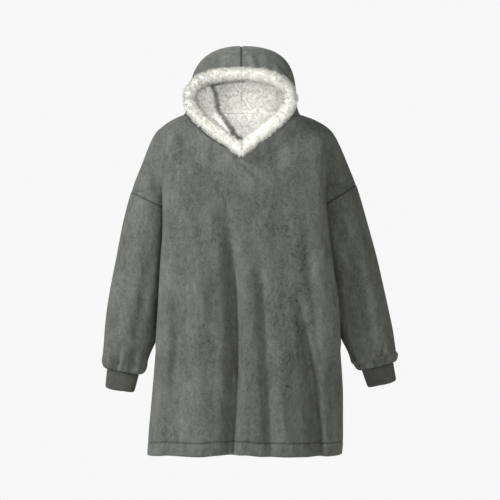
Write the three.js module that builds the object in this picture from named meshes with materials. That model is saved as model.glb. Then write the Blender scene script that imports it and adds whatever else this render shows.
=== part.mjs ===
// A hooded wearable blanket, filled out as if worn, with nobody in it.
// Plush front and back panels with dropped shoulders, gathered sleeves, rib-knit cuffs, a turned-up hem,
// and a two-panel hood that is lined with curly fleece and edged with a roll of it.
// Millimetres, +Z up, the front faces -Y and the wearer's left is +X.
// The origin lies between the two shoulder points of the neck, where the wearer's shoulders carry it.
import * as THREE from 'three';

// Cloth
const PLUSH = 3; // wall of the plush cloth
const KNIT = 2.4; // wall of the cuffs' rib knit
const FLEECE = 8; // curly fleece, out to the tips of its pile
const SEAM = 0.3; // gap between two pieces that are sewn together
const HOOD_GAP = 2.5 * SEAM; // from the panels to the hood's lower edge
const ROLL_GAP = 2 * SEAM; // from the hood's front edge to the roll
const HOOD_LINING_GAP = 3 * SEAM; // from the hood to its lining
const NECK_LINING_GAP = 4 * SEAM; // from the back panel to the neck's lining
const HEM_WALL = 6; // the hem is turned up inside, so its wall is double
const HEM_STITCH = 1.4; // how far the hem's stitching pulls the cloth in
const BESIDE_STITCH = 0.3; // and how far just above and below the stitching
const ARMPIT_ROOM = 3.5; // how far the body keeps from the sleeve right at the armpit
const NEST = 7; // and how much farther it keeps from the sleeve below that
const FOLD_ROOM = 8; // and how far before and behind the sleeve the body turns back to its own side
const BACK_NARROWER = 4; // how much narrower the back stands than the front

// The two sides of the body, each with the ends of its slanted armhole seam and of its cuff.
const SIDES = {
  right: { sign: -1, armholeTop: -212, armpit: -270 },
  left: { sign: 1, armholeTop: -193, armpit: -264 },
};
const CUFFS = {
  right: { x: -328.5, z: -697, lean: 10, drop: 49 },
  left: { x: 357, z: -683, lean: 14, drop: 48 },
};
const CUFF = { y: -22, forward: 3, halfWidth: 43, halfDepth: 17, hemWidth: 39, hemDepth: 15 };
const RIBS = { count: 60, height: 0.7 };

// Outermost point of the shoulders and sleeves, as a distance from the middle.
const OUTLINE = [
  { z: 0, right: 159, left: 141 },
  { z: -19, right: 200, left: 192 },
  { z: -36, right: 224, left: 221 },
  { z: -50, right: 240, left: 236 },
  { z: -80, right: 257, left: 254 },
  { z: -135, right: 279, left: 278 },
  { z: -196, right: 303, left: 302 },
  { z: -292, right: 329, left: 330 },
  { z: -396, right: 349, left: 358 },
  { z: -463, right: 362, left: 373 },
  { z: -532, right: 373, left: 388 },
  { z: -593, right: 379, left: 400 },
  { z: -640, right: 381, left: 405 },
  { z: -700, right: 379, left: 400 },
];

// The arm inside each sleeve: half its width, half its depth, and how far back its middle is.
const ARM = [
  { z: 0, across: 24, deep: 34, y: 5 },
  { z: -36, across: 30, deep: 42, y: 6 },
  { z: -80, across: 44, deep: 56, y: 9 },
  { z: -135, across: 56, deep: 68, y: 12 },
  { z: -212, across: 65, deep: 78, y: 12 },
  { z: -300, across: 70, deep: 78, y: 9 },
  { z: -400, across: 75, deep: 74, y: 4 },
  { z: -500, across: 77, deep: 66, y: -4 },
  { z: -600, across: 72.5, deep: 57, y: -12 },
  { z: -660, across: 59.5, deep: 46, y: -18 },
  { z: -700, across: 52.5, deep: 36, y: -22 },
];

// The body: how wide its front stands on each side, and how deep it is before and behind the shoulder line.
const TORSO = [
  { z: 0, right: 157, left: 138, front: 70, back: 78 },
  { z: -50, right: 219, left: 216, front: 98, back: 100 },
  { z: -115, right: 221, left: 218, front: 114, back: 112 },
  { z: -213, right: 221, left: 216, front: 136, back: 122 },
  { z: -300, right: 220, left: 223, front: 144, back: 124 },
  { z: -416, right: 227, left: 237, front: 149, back: 126 },
  { z: -514, right: 232, left: 251, front: 153, back: 128 },
  { z: -619, right: 239, left: 256, front: 157, back: 132 },
  { z: -767, right: 252, left: 265, front: 161, back: 139 },
  { z: -889, right: 262, left: 265, front: 165, back: 145 },
  { z: -923, right: 264, left: 262, front: 166, back: 147 },
];

// Quarter section of the body, from the side seam to the middle, as shares of its width and depth:
// beside the sleeve, where it falls free below the sleeve, and on the shoulders.
// The first three points beside the sleeve follow the sleeve instead.
const QUARTER = [
  { beside: [1.0, 0.0], free: [1.0, 0.0], shoulder: [1.0, 0.0] },
  { beside: [1.0, 0.1], free: [0.992, 0.2], shoulder: [0.975, 0.24] },
  { beside: [1.0, 0.3], free: [0.965, 0.37], shoulder: [0.94, 0.42] },
  { beside: [1.0, 0.64], free: [0.915, 0.53], shoulder: [0.87, 0.58] },
  { beside: [0.945, 0.8], free: [0.84, 0.68], shoulder: [0.76, 0.73] },
  { beside: [0.66, 0.93], free: [0.61, 0.87], shoulder: [0.57, 0.88] },
  { beside: [0.33, 0.985], free: [0.32, 0.97], shoulder: [0.3, 0.97] },
  { beside: [0.0, 1.0], free: [0.0, 1.0], shoulder: [0.0, 1.0] },
  { beside: [-0.33, 0.985], free: [-0.32, 0.97], shoulder: [-0.3, 0.97] },
];
const EDGE_POINT = 3; // which of those points is the front's edge beside the sleeve
const SIDE_POINTS = 4; // how many of them the side takes
const MIDDLE = 7; // which of them is the middle of the body
const TURN = 2.4; // from this place on, a row bends from its height at the side to that in the middle
const FALLS = { from: -600, to: -730 }; // heights between which the body comes free of the sleeve
const SHOULDERS = { from: -100, to: -36 }; // heights between which it becomes the shoulders

// Where the body turns from the arm into its own front, as an angle round the arm in degrees,
// against height: 0 at the armpit, 1 at the top of the armhole seam.
const VALLEY = [
  { up: 0, angle: 165 },
  { up: 0.3, angle: 151 },
  { up: 0.6, angle: 138 },
  { up: 1, angle: 122 },
  { up: 2.4, angle: 84 },
  { up: 4, angle: 60 },
];

// Standing folds. Each runs from x0, z0 down to x1, z1 with a bow to +X, and its flanks differ in width.
// It is a trough if its depth is below 0.
const FRONT_FOLDS = [
  { x0: -52, z0: -190, x1: -36, z1: -930, bow: 20, toRight: 22, toLeft: 12, depth: -37 },
  { x0: 38, z0: -290, x1: 70, z1: -930, bow: 0, toRight: 16, toLeft: 15, depth: -15 },
  { x0: 134, z0: -430, x1: 196, z1: -930, bow: 6, toRight: 18, toLeft: 14, depth: -27 },
  { x0: 152, z0: -250, x1: 194, z1: -660, bow: 4, toRight: 18, toLeft: 14, depth: -7 },
  { x0: -160, z0: -440, x1: -208, z1: -930, bow: 0, toRight: 18, toLeft: 26, depth: -13 },
  { x0: -106, z0: -260, x1: -118, z1: -930, bow: -6, toRight: 30, toLeft: 24, depth: 10 },
  { x0: 92, z0: -520, x1: 112, z1: -930, bow: 4, toRight: 26, toLeft: 22, depth: 6 },
];
const BACK_FOLDS = [
  { x0: -120, z0: -230, x1: -168, z1: -930, bow: -8, toRight: 24, toLeft: 20, depth: -14 },
  { x0: -38, z0: -330, x1: -62, z1: -930, bow: 6, toRight: 22, toLeft: 26, depth: -17 },
  { x0: 30, z0: -210, x1: 34, z1: -930, bow: 10, toRight: 20, toLeft: 22, depth: -13 },
  { x0: 98, z0: -300, x1: 120, z1: -930, bow: -6, toRight: 28, toLeft: 18, depth: -18 },
  { x0: 160, z0: -460, x1: 200, z1: -930, bow: 0, toRight: 16, toLeft: 18, depth: -9 },
];
const FOLD_GROWTH = 0.45; // the share of its length over which a fold reaches its full depth
const FOLDS_AT_SIDE = { from: 0.96, to: 0.78 }; // shares of the half width between which folds grow

// Folds along a sleeve, by the angle round the arm: 0 outside, 90 in front.
const SLEEVE_FOLDS = {
  right: [
    { angle: 104, spread: 13, top: -330, bottom: -640, depth: -5 },
    { angle: 60, spread: 12, top: -420, bottom: -660, depth: -4 },
    { angle: 262, spread: 16, top: -300, bottom: -650, depth: -7 },
    { angle: 116, spread: 24, top: -258, bottom: -520, depth: 5 },
  ],
  left: [
    { angle: 84, spread: 12, top: -290, bottom: -680, depth: -11 },
    { angle: 118, spread: 14, top: -480, bottom: -640, depth: -4 },
    { angle: 284, spread: 16, top: -300, bottom: -650, depth: -7 },
    { angle: 116, spread: 22, top: -258, bottom: -520, depth: 5 },
  ],
};
// Gathers where the sleeve's end is drawn into the cuff, which it overhangs.
const GATHERS = { count: 8, height: 3.2, turn: 20, from: -612, overhang: 14 };

// The sleeve's rings. Below its slanted top they tilt from the slant of the armhole seam to that of the cuff.
// The last ones are places above the cuff's seam, as shares of the cuff's height, and outside its section.
const SLEEVE_COLUMNS = 24;
const SLEEVE_TOP = -300;
const SLEEVE_END = -655;
const SEAM_TILT = 0.44;
const SLEEVE_RINGS = [
  { seam: true },
  { below: 14 },
  { z: SLEEVE_TOP },
  { z: -350 },
  { z: -410 },
  { z: -470 },
  { z: -530 },
  { z: -585 },
  { z: -625 },
  { z: SLEEVE_END },
  { down: -0.42, grow: GATHERS.overhang },
  { down: -0.2, grow: 11.5 },
  { down: -0.06, grow: 7 },
  { down: -0.012, grow: 1.5, flat: true },
];

// How far the hem's edge dips below its mean height, in front and behind.
const HEM_DIP = [
  { x: -264, front: -4, back: -4 },
  { x: -196, front: -9, back: -3 },
  { x: -128, front: -8, back: 3 },
  { x: -66, front: -12, back: -2 },
  { x: 0, front: -13, back: 2 },
  { x: 44, front: -9, back: -3 },
  { x: 150, front: -7, back: 3 },
  { x: 262, front: -6, back: -6 },
];
const DIP_FADE = { from: -765, to: -885 }; // heights between which the dip grows to its full size
const HEM_Z = -923;

// Front neckline, from the point of the V up to the shoulder on each side.
const V_X = -9; // the V and the hood's centre seam lie a little to the wearer's right
const NECKLINE = [
  { z: -114, right: 9, left: -9 },
  { z: -101, right: 38, left: 10 },
  { z: -63, right: 99, left: 66 },
  { z: -36, right: 131, left: 100 },
  { z: -14, right: 149, left: 125 },
  { z: -6, right: 153, left: 134 },
];
const BACK_NECK_RISE = 3; // the back of the neck stands a little above the shoulder points

// The rows of the body panels: the height at the side and at the middle of the front and of the back.
// Rows below the sleeves are level. pull is how far the stitching draws the cloth in there.
const LOWER_ROWS = [
  { z: HEM_Z, pull: 0, wall: HEM_WALL },
  { z: -906, pull: 0, wall: HEM_WALL },
  { z: -893, pull: BESIDE_STITCH, wall: HEM_WALL },
  { z: -889, pull: HEM_STITCH, wall: (PLUSH + HEM_WALL) / 2 },
  { z: -885, pull: BESIDE_STITCH, wall: PLUSH },
  { z: -830 },
  { z: -765 },
  { z: -700 },
  { z: -640 },
  { z: -580 },
  { z: -510 },
  { z: -440 },
  { z: -372 },
  { z: -318 },
];
const ARMPIT_ROW = { below: 14, middle: -288 }; // one row just below the armpit
const ARMHOLE_ANGLES = [180, 165, 150, 135, 120, 90, 60, 30, 0]; // places of the seam that the rows meet
const ARMHOLE_MIDDLE = { bottom: -268, top: -186 }; // heights in the body's middle for the armhole's ends
const UPPER_ROWS = [
  { z: -165, front: -166, back: -158 },
  { z: -130, front: -148, back: -128 },
  { z: -96, front: -131, back: -98 },
  { z: -68, front: -114, back: -70 },
  { z: -50, front: -90, back: -48 },
  { z: -36, front: -62, back: -30 },
  { z: -20, front: -33, back: -13 },
  { z: -3, front: -7, back: BACK_NECK_RISE },
];
const V_ROW = 3; // which of those rows ends at the point of the V

// Columns of each half panel: how many run round the side, and how many across to the middle.
const FRONT_COLUMNS = { side: 7, middle: 12 };
const BACK_COLUMNS = { side: 7, middle: 7 };

// The hood, as hoops from its front edge (the rim) to the back of the neck. step counts along the neck seam:
// 0 is the V, 5 the shoulder point, and at 10 the rest of the seam runs across the back of the neck.
// Then come the width on each side, y and z of the widest point and of the top, and how full the arches are.
const HOOPS = [
  { step: 0, right: 155, left: 131, wide: [-74, 32], top: [-98, 107], arch: { right: 0.7, left: 0.62 } },
  { step: 2, right: 151, left: 133, wide: [-44, 34], top: [-64, 148], arch: { right: 0.7, left: 0.66 } },
  { step: 4, right: 150, left: 138, wide: [-8, 42], top: [-16, 180], arch: { right: 0.66, left: 0.71 } },
  { step: 5.5, right: 145, left: 134, wide: [32, 48], top: [40, 174], arch: { right: 0.66, left: 0.7 } },
  { step: 7, right: 131, left: 122, wide: [64, 44], top: [86, 131], arch: { right: 0.66, left: 0.66 } },
  { step: 8.5, right: 112, left: 106, wide: [84, 26], top: [102, 68], arch: { right: 0.64, left: 0.64 } },
  { step: 10 },
];
// How a hoop leaves the neck seam and reaches its widest point, as shares of the way there
const LOWER_SHAPE = { across: 0.65, leave: [0.35, 0.4], reach: [0.75, 0.7] };
const RIM_EARLY = { right: 0.57, left: 0.46 }; // how soon the rim leaves the V to its side
const NECK_STEPS = { shoulder: 5, corner: 10 };
const NECK_CORNER = 0.66; // the hood turns across the back of the neck at this share of its half width
const HOOP_POINTS = { lower: 5, arch: 7 };

// The roll of fleece round the hood's opening, and how far inside the rim its middle lies.
const ROLL = { halfWidth: 15, halfDepth: 17, inset: 8, sides: 10, steps: 20 };
const NECK_LINING = { halfWidth: 104, below: 2, depth: 128, narrowing: 0.25, columns: 10, rows: 4 };

// Colours
const COLOURS = {
  plush: 0x6b6e67,
  knit: 0x53565a,
  fleece: 0xe9e8e0,
};

const radians = (degrees) => (degrees * Math.PI) / 180;
const mix = (a, b, share) => a + (b - a) * share;
const clamp = (value, low = 0, high = 1) => Math.min(high, Math.max(low, value));

function smooth(from, to, value) {
  const t = clamp((value - from) / (to - from));
  return t * t * (3 - 2 * t);
}

// A column of a table, read at any place of its key column with a smooth curve that never overshoots.
function read(table, key, column, place) {
  const rows = table[0][key] < table[table.length - 1][key] ? table : [...table].reverse();
  const last = rows.length - 1;
  if (place <= rows[0][key]) return rows[0][column];
  if (place >= rows[last][key]) return rows[last][column];
  const i = rows.findIndex((row) => row[key] > place) - 1;
  const slope = (k) => (rows[k + 1][column] - rows[k][column]) / (rows[k + 1][key] - rows[k][key]);
  const tangent = (k) => {
    if (k === 0) return slope(0);
    if (k === last) return slope(last - 1);
    const before = slope(k - 1);
    const after = slope(k);
    return before * after <= 0 ? 0 : (2 * before * after) / (before + after);
  };
  const width = rows[i + 1][key] - rows[i][key];
  const t = (place - rows[i][key]) / width;
  const start = (1 + 2 * t) * (1 - t) ** 2 * rows[i][column] + t * (1 - t) ** 2 * width * tangent(i);
  const end = t * t * (3 - 2 * t) * rows[i + 1][column] + t * t * (t - 1) * width * tangent(i + 1);
  return start + end;
}

// The arm's section at a height: its middle and its half axes.
function armAt(side, z) {
  const across = read(ARM, 'z', 'across', z);
  return {
    middle: read(OUTLINE, 'z', side, z) - across,
    across,
    deep: read(ARM, 'z', 'deep', z),
    y: read(ARM, 'z', 'y', z),
  };
}

// Angle round the arm at which the armhole seam passes a height: 180 from the armpit down, 0 above its top.
function seamAngle(side, z) {
  const { armholeTop, armpit } = SIDES[side];
  const share = clamp((z - armpit) / (armholeTop - armpit));
  return THREE.MathUtils.radToDeg(Math.acos(2 * share - 1));
}

// Height of the armhole seam at an angle round the arm.
function seamHeight(side, angle) {
  const { armholeTop, armpit } = SIDES[side];
  return mix(armpit, armholeTop, (1 + Math.cos(radians(angle))) / 2);
}

// Control points of a quarter section of the body at a height, as [distance from the middle, depth].
// facing is 'front' or 'back', and depth is counted towards it.
function quarterPoints(side, facing, z) {
  const { armholeTop, armpit } = SIDES[side];
  const arm = armAt(side, z);
  const towards = facing === 'front' ? -1 : 1;
  const width = read(TORSO, 'z', side, z) - (facing === 'back' ? BACK_NARROWER : 0);
  const depth = read(TORSO, 'z', facing, z);
  const outline = read(OUTLINE, 'z', side, z);
  const up = (z - armpit) / (armholeTop - armpit);
  const seam = seamAngle(side, z);
  const clear = ARMPIT_ROOM * smooth(0.3, 0, up) + NEST * smooth(0, -0.8, up);
  const onArm = (angle, gap) => {
    const across = arm.middle + (arm.across + gap) * Math.cos(radians(angle));
    const deep = (arm.deep + gap) * Math.sin(radians(angle)) + towards * arm.y;
    return [Math.min(across, up < 0 ? width : across), deep];
  };
  const within = clamp((arm.middle - width) / arm.across, -1, 1);
  const past = arm.deep * Math.sqrt(1 - within * within) + towards * arm.y + clear + FOLD_ROOM;
  const edge = [width, Math.max(past, QUARTER[EDGE_POINT].beside[1] * depth)];
  const a = (edge[0] - arm.middle) / (arm.across + clear);
  const b = (edge[1] - towards * arm.y) / (arm.deep + clear);
  const touching = THREE.MathUtils.radToDeg(Math.atan2(b, a) + Math.acos(1 / Math.hypot(a, b)));
  const valley = Math.min(read(VALLEY, 'up', 'angle', up), touching);
  const turn = (seam + valley) / 2;
  const beside = [onArm(seam, up < -0.02 ? clear : 0), onArm(turn, clear), onArm(valley, clear), edge];
  const falls = smooth(FALLS.from, FALLS.to, z);
  const shoulders = smooth(SHOULDERS.from, SHOULDERS.to, z);
  return QUARTER.map((row, k) => {
    const held = beside[k] ?? [row.beside[0] * width, row.beside[1] * depth];
    const sideY = k === 0 ? towards * arm.y : 0;
    const free = [row.free[0] * width, row.free[1] * depth + sideY];
    const top = [row.shoulder[0] * outline, row.shoulder[1] * depth + sideY];
    return [0, 1].map((c) => mix(mix(held[c], free[c], falls), top[c], shoulders));
  });
}

// The sum of the standing folds at a place on the body, in millimetres outwards.
function foldsAt(folds, x, z) {
  return folds.reduce((sum, fold) => {
    const t = clamp((z - fold.z0) / (fold.z1 - fold.z0));
    const middle = mix(fold.x0, fold.x1, t) + fold.bow * Math.sin(Math.PI * t);
    const width = x < middle ? fold.toRight : fold.toLeft;
    return sum + fold.depth * smooth(0, FOLD_GROWTH, t) * Math.exp(-(((x - middle) / width) ** 2));
  }, 0);
}

// The point of the body's outer surface at a height and a place along the quarter section.
function bodyPoint(side, facing, z, along) {
  const points = quarterPoints(side, facing, z).map(([across, deep]) => new THREE.Vector3(across, deep, 0));
  const curve = new THREE.CatmullRomCurve3(points, false, 'centripetal');
  const at = curve.getPoint(along / (points.length - 1));
  const x = SIDES[side].sign * at.x;
  const folds = facing === 'front' ? FRONT_FOLDS : BACK_FOLDS;
  const width = read(TORSO, 'z', side, z);
  const room = smooth(FOLDS_AT_SIDE.from, FOLDS_AT_SIDE.to, Math.abs(x) / width);
  const deep = at.y + room * foldsAt(folds, x, z);
  return new THREE.Vector3(x, facing === 'front' ? -deep : deep, z);
}

// The outward normal of the body's surface there.
function bodyNormal(side, facing, z, along) {
  const step = 0.05;
  const across = bodyPoint(side, facing, z, along + step).sub(bodyPoint(side, facing, z, along - step));
  const down = bodyPoint(side, facing, z - 1, along).sub(bodyPoint(side, facing, z + 1, along));
  const normal = across.cross(down).normalize();
  return Math.sign(normal.y) === (facing === 'front' ? -1 : 1) ? normal : normal.negate();
}

// Where along the quarter section the body reaches a distance from the middle, negative past the middle.
function alongAt(side, facing, z, distance) {
  let near = EDGE_POINT;
  let far = MIDDLE + 1;
  for (let step = 0; step < 24; step += 1) {
    const mid = (near + far) / 2;
    if (SIDES[side].sign * bodyPoint(side, facing, z, mid).x > distance) near = mid;
    else far = mid;
  }
  return (near + far) / 2;
}

// A sheet of cloth: points of its outer surface with their walls, joined by four-cornered faces and closed
// into a solid.
class Sheet {
  constructor() {
    this.points = [];
    this.faces = [];
  }

  add(point, wall, normal = null, lift = 0) {
    this.points.push({ point, wall, normal, lift });
    return this.points.length - 1;
  }

  // Joins rows of points, all of one length, into faces that look outwards.
  join(rows, turned) {
    for (let r = 0; r + 1 < rows.length; r += 1) {
      for (let c = 0; c + 1 < rows[r].length; c += 1) {
        const face = [rows[r][c], rows[r][c + 1], rows[r + 1][c + 1], rows[r + 1][c]];
        this.faces.push(turned ? face.reverse() : face);
      }
    }
  }

  // Outward normals, from the faces round each point or as given.
  normals() {
    const sums = this.points.map(() => new THREE.Vector3());
    for (const face of this.faces) {
      const [a, b, c, d] = face.map((i) => this.points[i].point);
      const normal = new THREE.Vector3().crossVectors(c.clone().sub(a), d.clone().sub(b));
      for (const i of face) sums[i].add(normal);
    }
    return sums.map((sum, i) => this.points[i].normal ?? sum.normalize());
  }

  // The outer and inner surfaces: lift is a height above the outer surface, and wall the thickness below it.
  solid() {
    const normals = this.normals();
    const count = this.points.length;
    const outer = this.points.map(({ point, lift }, i) => point.clone().addScaledVector(normals[i], lift));
    const inner = this.points.map(({ point, wall }, i) => point.clone().addScaledVector(normals[i], -wall));
    const triangles = [];
    const edges = new Map();
    for (const [a, b, c, d] of this.faces) {
      triangles.push(a, b, c, a, c, d);
      triangles.push(count + a, count + c, count + b, count + a, count + d, count + c);
      for (const [from, to] of [[a, b], [b, c], [c, d], [d, a]]) {
        if (!edges.delete(`${to},${from}`)) edges.set(`${from},${to}`, [from, to]);
      }
    }
    for (const [from, to] of edges.values()) {
      triangles.push(to, from, count + from, to, count + from, count + to);
    }
    const geometry = new THREE.BufferGeometry().setFromPoints([...outer, ...inner]);
    geometry.setIndex(triangles);
    return geometry;
  }
}

// A copy of a sheet that lies inside it, behind its wall and a gap.
function liningOf(sheet, behind, wall) {
  const normals = sheet.normals();
  const copy = new Sheet();
  copy.points = sheet.points.map(({ point }, i) => ({
    point: point.clone().addScaledVector(normals[i], -behind),
    wall,
    normal: normals[i],
    lift: 0,
  }));
  copy.faces = sheet.faces;
  return copy;
}

// The body's rows on one side: heights at the side and in the middle, wall, stitching, and the seam's angle.
function bodyRows(side, facing) {
  const { armpit } = SIDES[side];
  const lower = LOWER_ROWS.map(({ z, pull = 0, wall = PLUSH }) => ({ z, middle: z, pull, wall }));
  const below = { z: armpit - ARMPIT_ROW.below, middle: ARMPIT_ROW.middle, pull: 0, wall: PLUSH };
  const armhole = ARMHOLE_ANGLES.map((angle, k) => ({
    z: seamHeight(side, angle),
    middle: mix(ARMHOLE_MIDDLE.bottom, ARMHOLE_MIDDLE.top, k / (ARMHOLE_ANGLES.length - 1)),
    pull: 0,
    wall: PLUSH,
  }));
  const upper = UPPER_ROWS.map((row, k) => ({
    z: row.z,
    middle: row[facing],
    pull: 0,
    wall: PLUSH,
    neck: facing === 'front' && k >= V_ROW,
    wing: facing === 'front' && k > V_ROW,
  }));
  return [...lower, below, ...armhole, ...upper];
}

// The outward normal of the arm's surface at an angle round it, on its front or its back half.
function armNormal(side, facing, angle, z) {
  const arm = armAt(side, z);
  const lean = (read(OUTLINE, 'z', side, z + 2) - read(OUTLINE, 'z', side, z - 2)) / 4;
  const across = Math.cos(radians(angle)) / arm.across;
  const deep = (Math.abs(Math.sin(radians(angle))) / arm.deep) * (facing === 'front' ? -1 : 1);
  const level = new THREE.Vector3(SIDES[side].sign * across, deep, 0).normalize();
  return level.setZ(-lean * Math.cos(radians(angle))).normalize();
}

// The outward normal at the edge of a body panel: square to the side seam, or the arm's above the armpit.
function edgeNormal(side, facing, z) {
  if (z > SIDES[side].armpit) return armNormal(side, facing, seamAngle(side, z), z);
  const reach = (height) => quarterPoints(side, facing, height)[0][0];
  return new THREE.Vector3(SIDES[side].sign, 0, -(reach(z + 2) - reach(z - 2)) / 4).normalize();
}

// One body panel, front or back, in two halves that share their middle up to the V of the neck.
function bodyPanel(facing) {
  const sheet = new Sheet();
  const columns = facing === 'front' ? FRONT_COLUMNS : BACK_COLUMNS;
  const apart = (facing === 'front' ? -1 : 1) * (SEAM / 2);
  const shared = [];
  for (const side of ['right', 'left']) {
    const rows = bodyRows(side, facing).map((row, r) => {
      const lean = facing === 'front' ? smooth(HEM_Z, NECKLINE[0].z, row.middle) : 0;
      const reach = row.neck ? read(NECKLINE, 'z', side, row.middle) : SIDES[side].sign * V_X * lean;
      const low = smooth(DIP_FADE.from, DIP_FADE.to, row.z);
      const end = alongAt(side, facing, row.middle, reach);
      const total = columns.side + columns.middle;
      return Array.from({ length: total + 1 }, (_, c) => {
        const past = (c - columns.side) / columns.middle;
        const along = past <= 0 ? (SIDE_POINTS * c) / columns.side : mix(SIDE_POINTS, MIDDLE, past);
        const place = (along * end) / MIDDLE;
        const z = mix(row.z, row.middle, smooth(TURN, MIDDLE, along));
        const point = bodyPoint(side, facing, z, place);
        point.z -= low * read(HEM_DIP, 'x', facing, point.x);
        const atEdge = c === 0;
        if (!atEdge) point.y += row.pull * (facing === 'front' ? 1 : -1);
        if (c === total && side === 'left' && !row.wing) return shared[r];
        if (atEdge) point.add(edgeShift(side, z, apart));
        let held = atEdge ? edgeNormal(side, facing, z) : null;
        if (row.neck && c === total) held = bodyNormal(side, facing, z, place);
        const index = sheet.add(point, row.wall, held);
        if (c === total && side === 'right') shared[r] = index;
        return index;
      });
    });
    sheet.join(rows, (side === 'right') === (facing === 'back'));
  }
  return sheet;
}

// Half the seam's gap at the edge of a body panel: away from the other panel, or up off the sleeve.
function edgeShift(side, z, apart) {
  const { armholeTop, armpit } = SIDES[side];
  const onArmhole = z <= armholeTop + 0.01 && z >= armpit - 0.01;
  const upwards = onArmhole ? SEAM / 2 : 0;
  const onSleeve = z < armholeTop - 0.01 && z > armpit + 0.01;
  return new THREE.Vector3(0, onSleeve ? 0 : apart, upwards);
}

// Height of the gathers at the sleeve's end, at an angle round the arm.
function gatherAt(angle) {
  return GATHERS.height * Math.cos(radians(angle * GATHERS.count + GATHERS.turn));
}

// The sleeve's outer surface at a height and an angle round the arm, with its folds.
function sleevePoint(side, z, angle) {
  const arm = armAt(side, z);
  const folds = SLEEVE_FOLDS[side].reduce((sum, fold) => {
    const off = Math.abs(((angle - fold.angle + 540) % 360) - 180);
    const within = smooth(fold.top, fold.top - 90, z) * smooth(fold.bottom, fold.bottom + 60, z);
    return sum + fold.depth * within * Math.exp(-((off / fold.spread) ** 2));
  }, 0);
  const drawn = smooth(GATHERS.from, GATHERS.from - 60, z);
  const swell = folds + gatherAt(angle) * drawn;
  return new THREE.Vector3(
    SIDES[side].sign * (arm.middle + (arm.across + swell) * Math.cos(radians(angle))),
    arm.y - (arm.deep + swell) * Math.sin(radians(angle)),
    z,
  );
}

// A point of the cuff's outer surface: down runs from 0 at its seam to 1 at its edge.
function cuffPoint(side, down, angle, grow = 0) {
  const cuff = CUFFS[side];
  const width = mix(CUFF.halfWidth, CUFF.hemWidth, down) + grow;
  const depth = mix(CUFF.halfDepth, CUFF.hemDepth, down) + grow;
  const { sign } = SIDES[side];
  const lean = radians(cuff.lean);
  const across = width * Math.cos(radians(angle));
  const fall = cuff.drop * down;
  return new THREE.Vector3(
    cuff.x + sign * (across * Math.cos(lean) + fall * Math.sin(lean)),
    CUFF.y - depth * Math.sin(radians(angle)) - CUFF.forward * down,
    cuff.z + across * Math.sin(lean) - fall * Math.cos(lean),
  );
}

// The normal of the cuff's outer surface, square to the way the cuff hangs.
function cuffNormal(side, angle) {
  const { sign } = SIDES[side];
  const lean = radians(CUFFS[side].lean);
  const across = Math.cos(radians(angle)) / CUFF.halfWidth;
  const deep = -Math.sin(radians(angle)) / CUFF.halfDepth;
  const length = Math.hypot(across, deep);
  const normal = new THREE.Vector3(sign * across * Math.cos(lean), deep, across * Math.sin(lean));
  return normal.divideScalar(length);
}

// One sleeve: rings from the slanted armhole seam down to the cuff, open by a seam's gap under the arm.
function sleeve(side) {
  const sheet = new Sheet();
  const lean = Math.tan(radians(CUFFS[side].lean));
  const rows = SLEEVE_RINGS.map((ring) =>
    Array.from({ length: SLEEVE_COLUMNS + 1 }, (_, c) => {
      const angle = 180 + (360 * c) / SLEEVE_COLUMNS;
      const atSeam = c === 0 ? 1 : c === SLEEVE_COLUMNS ? -1 : 0;
      let point;
      let normal = null;
      if (ring.seam) {
        const folded = angle <= 360 ? 360 - angle : angle - 360;
        const k = Math.max(1, ARMHOLE_ANGLES.findIndex((corner) => corner <= folded + 1e-9));
        const share = (ARMHOLE_ANGLES[k - 1] - folded) / (ARMHOLE_ANGLES[k - 1] - ARMHOLE_ANGLES[k]);
        const corner = (turned) => {
          const height = seamHeight(side, turned);
          return sleevePoint(side, height, angle <= 360 ? -turned : turned).setZ(height - SEAM / 2);
        };
        point = corner(ARMHOLE_ANGLES[k - 1]).lerp(corner(ARMHOLE_ANGLES[k]), share);
        normal = armNormal(side, angle <= 360 ? 'back' : 'front', angle, seamHeight(side, angle));
      } else if (ring.below) {
        point = sleevePoint(side, seamHeight(side, angle) - ring.below, angle);
      } else if (ring.z !== undefined) {
        const tilt = mix(SEAM_TILT, lean, smooth(SLEEVE_TOP, SLEEVE_END, ring.z));
        const z = ring.z + tilt * read(ARM, 'z', 'across', ring.z) * Math.cos(radians(angle));
        point = sleevePoint(side, z, angle);
      } else {
        const ripple = gatherAt(angle) * clamp(ring.grow / GATHERS.overhang);
        point = cuffPoint(side, ring.down, angle, ring.grow + ripple);
        if (ring.flat) normal = cuffNormal(side, angle);
      }
      point.y += atSeam * (SEAM / 2);
      return sheet.add(point, PLUSH, normal);
    }),
  );
  sheet.join(rows, side === 'right');
  return sheet;
}

// One rib-knit cuff, its ribs raised on the outside.
function cuff(side) {
  const sheet = new Sheet();
  const columns = RIBS.count * 2;
  const rows = [0, 0.5, 1].map((down) => {
    const row = Array.from({ length: columns }, (_, c) => {
      const point = cuffPoint(side, down, (360 * c) / columns);
      return sheet.add(point, KNIT, cuffNormal(side, (360 * c) / columns), c % 2 ? RIBS.height : 0);
    });
    return [...row, row[0]];
  });
  sheet.join(rows, side === 'right');
  return sheet;
}

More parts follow.
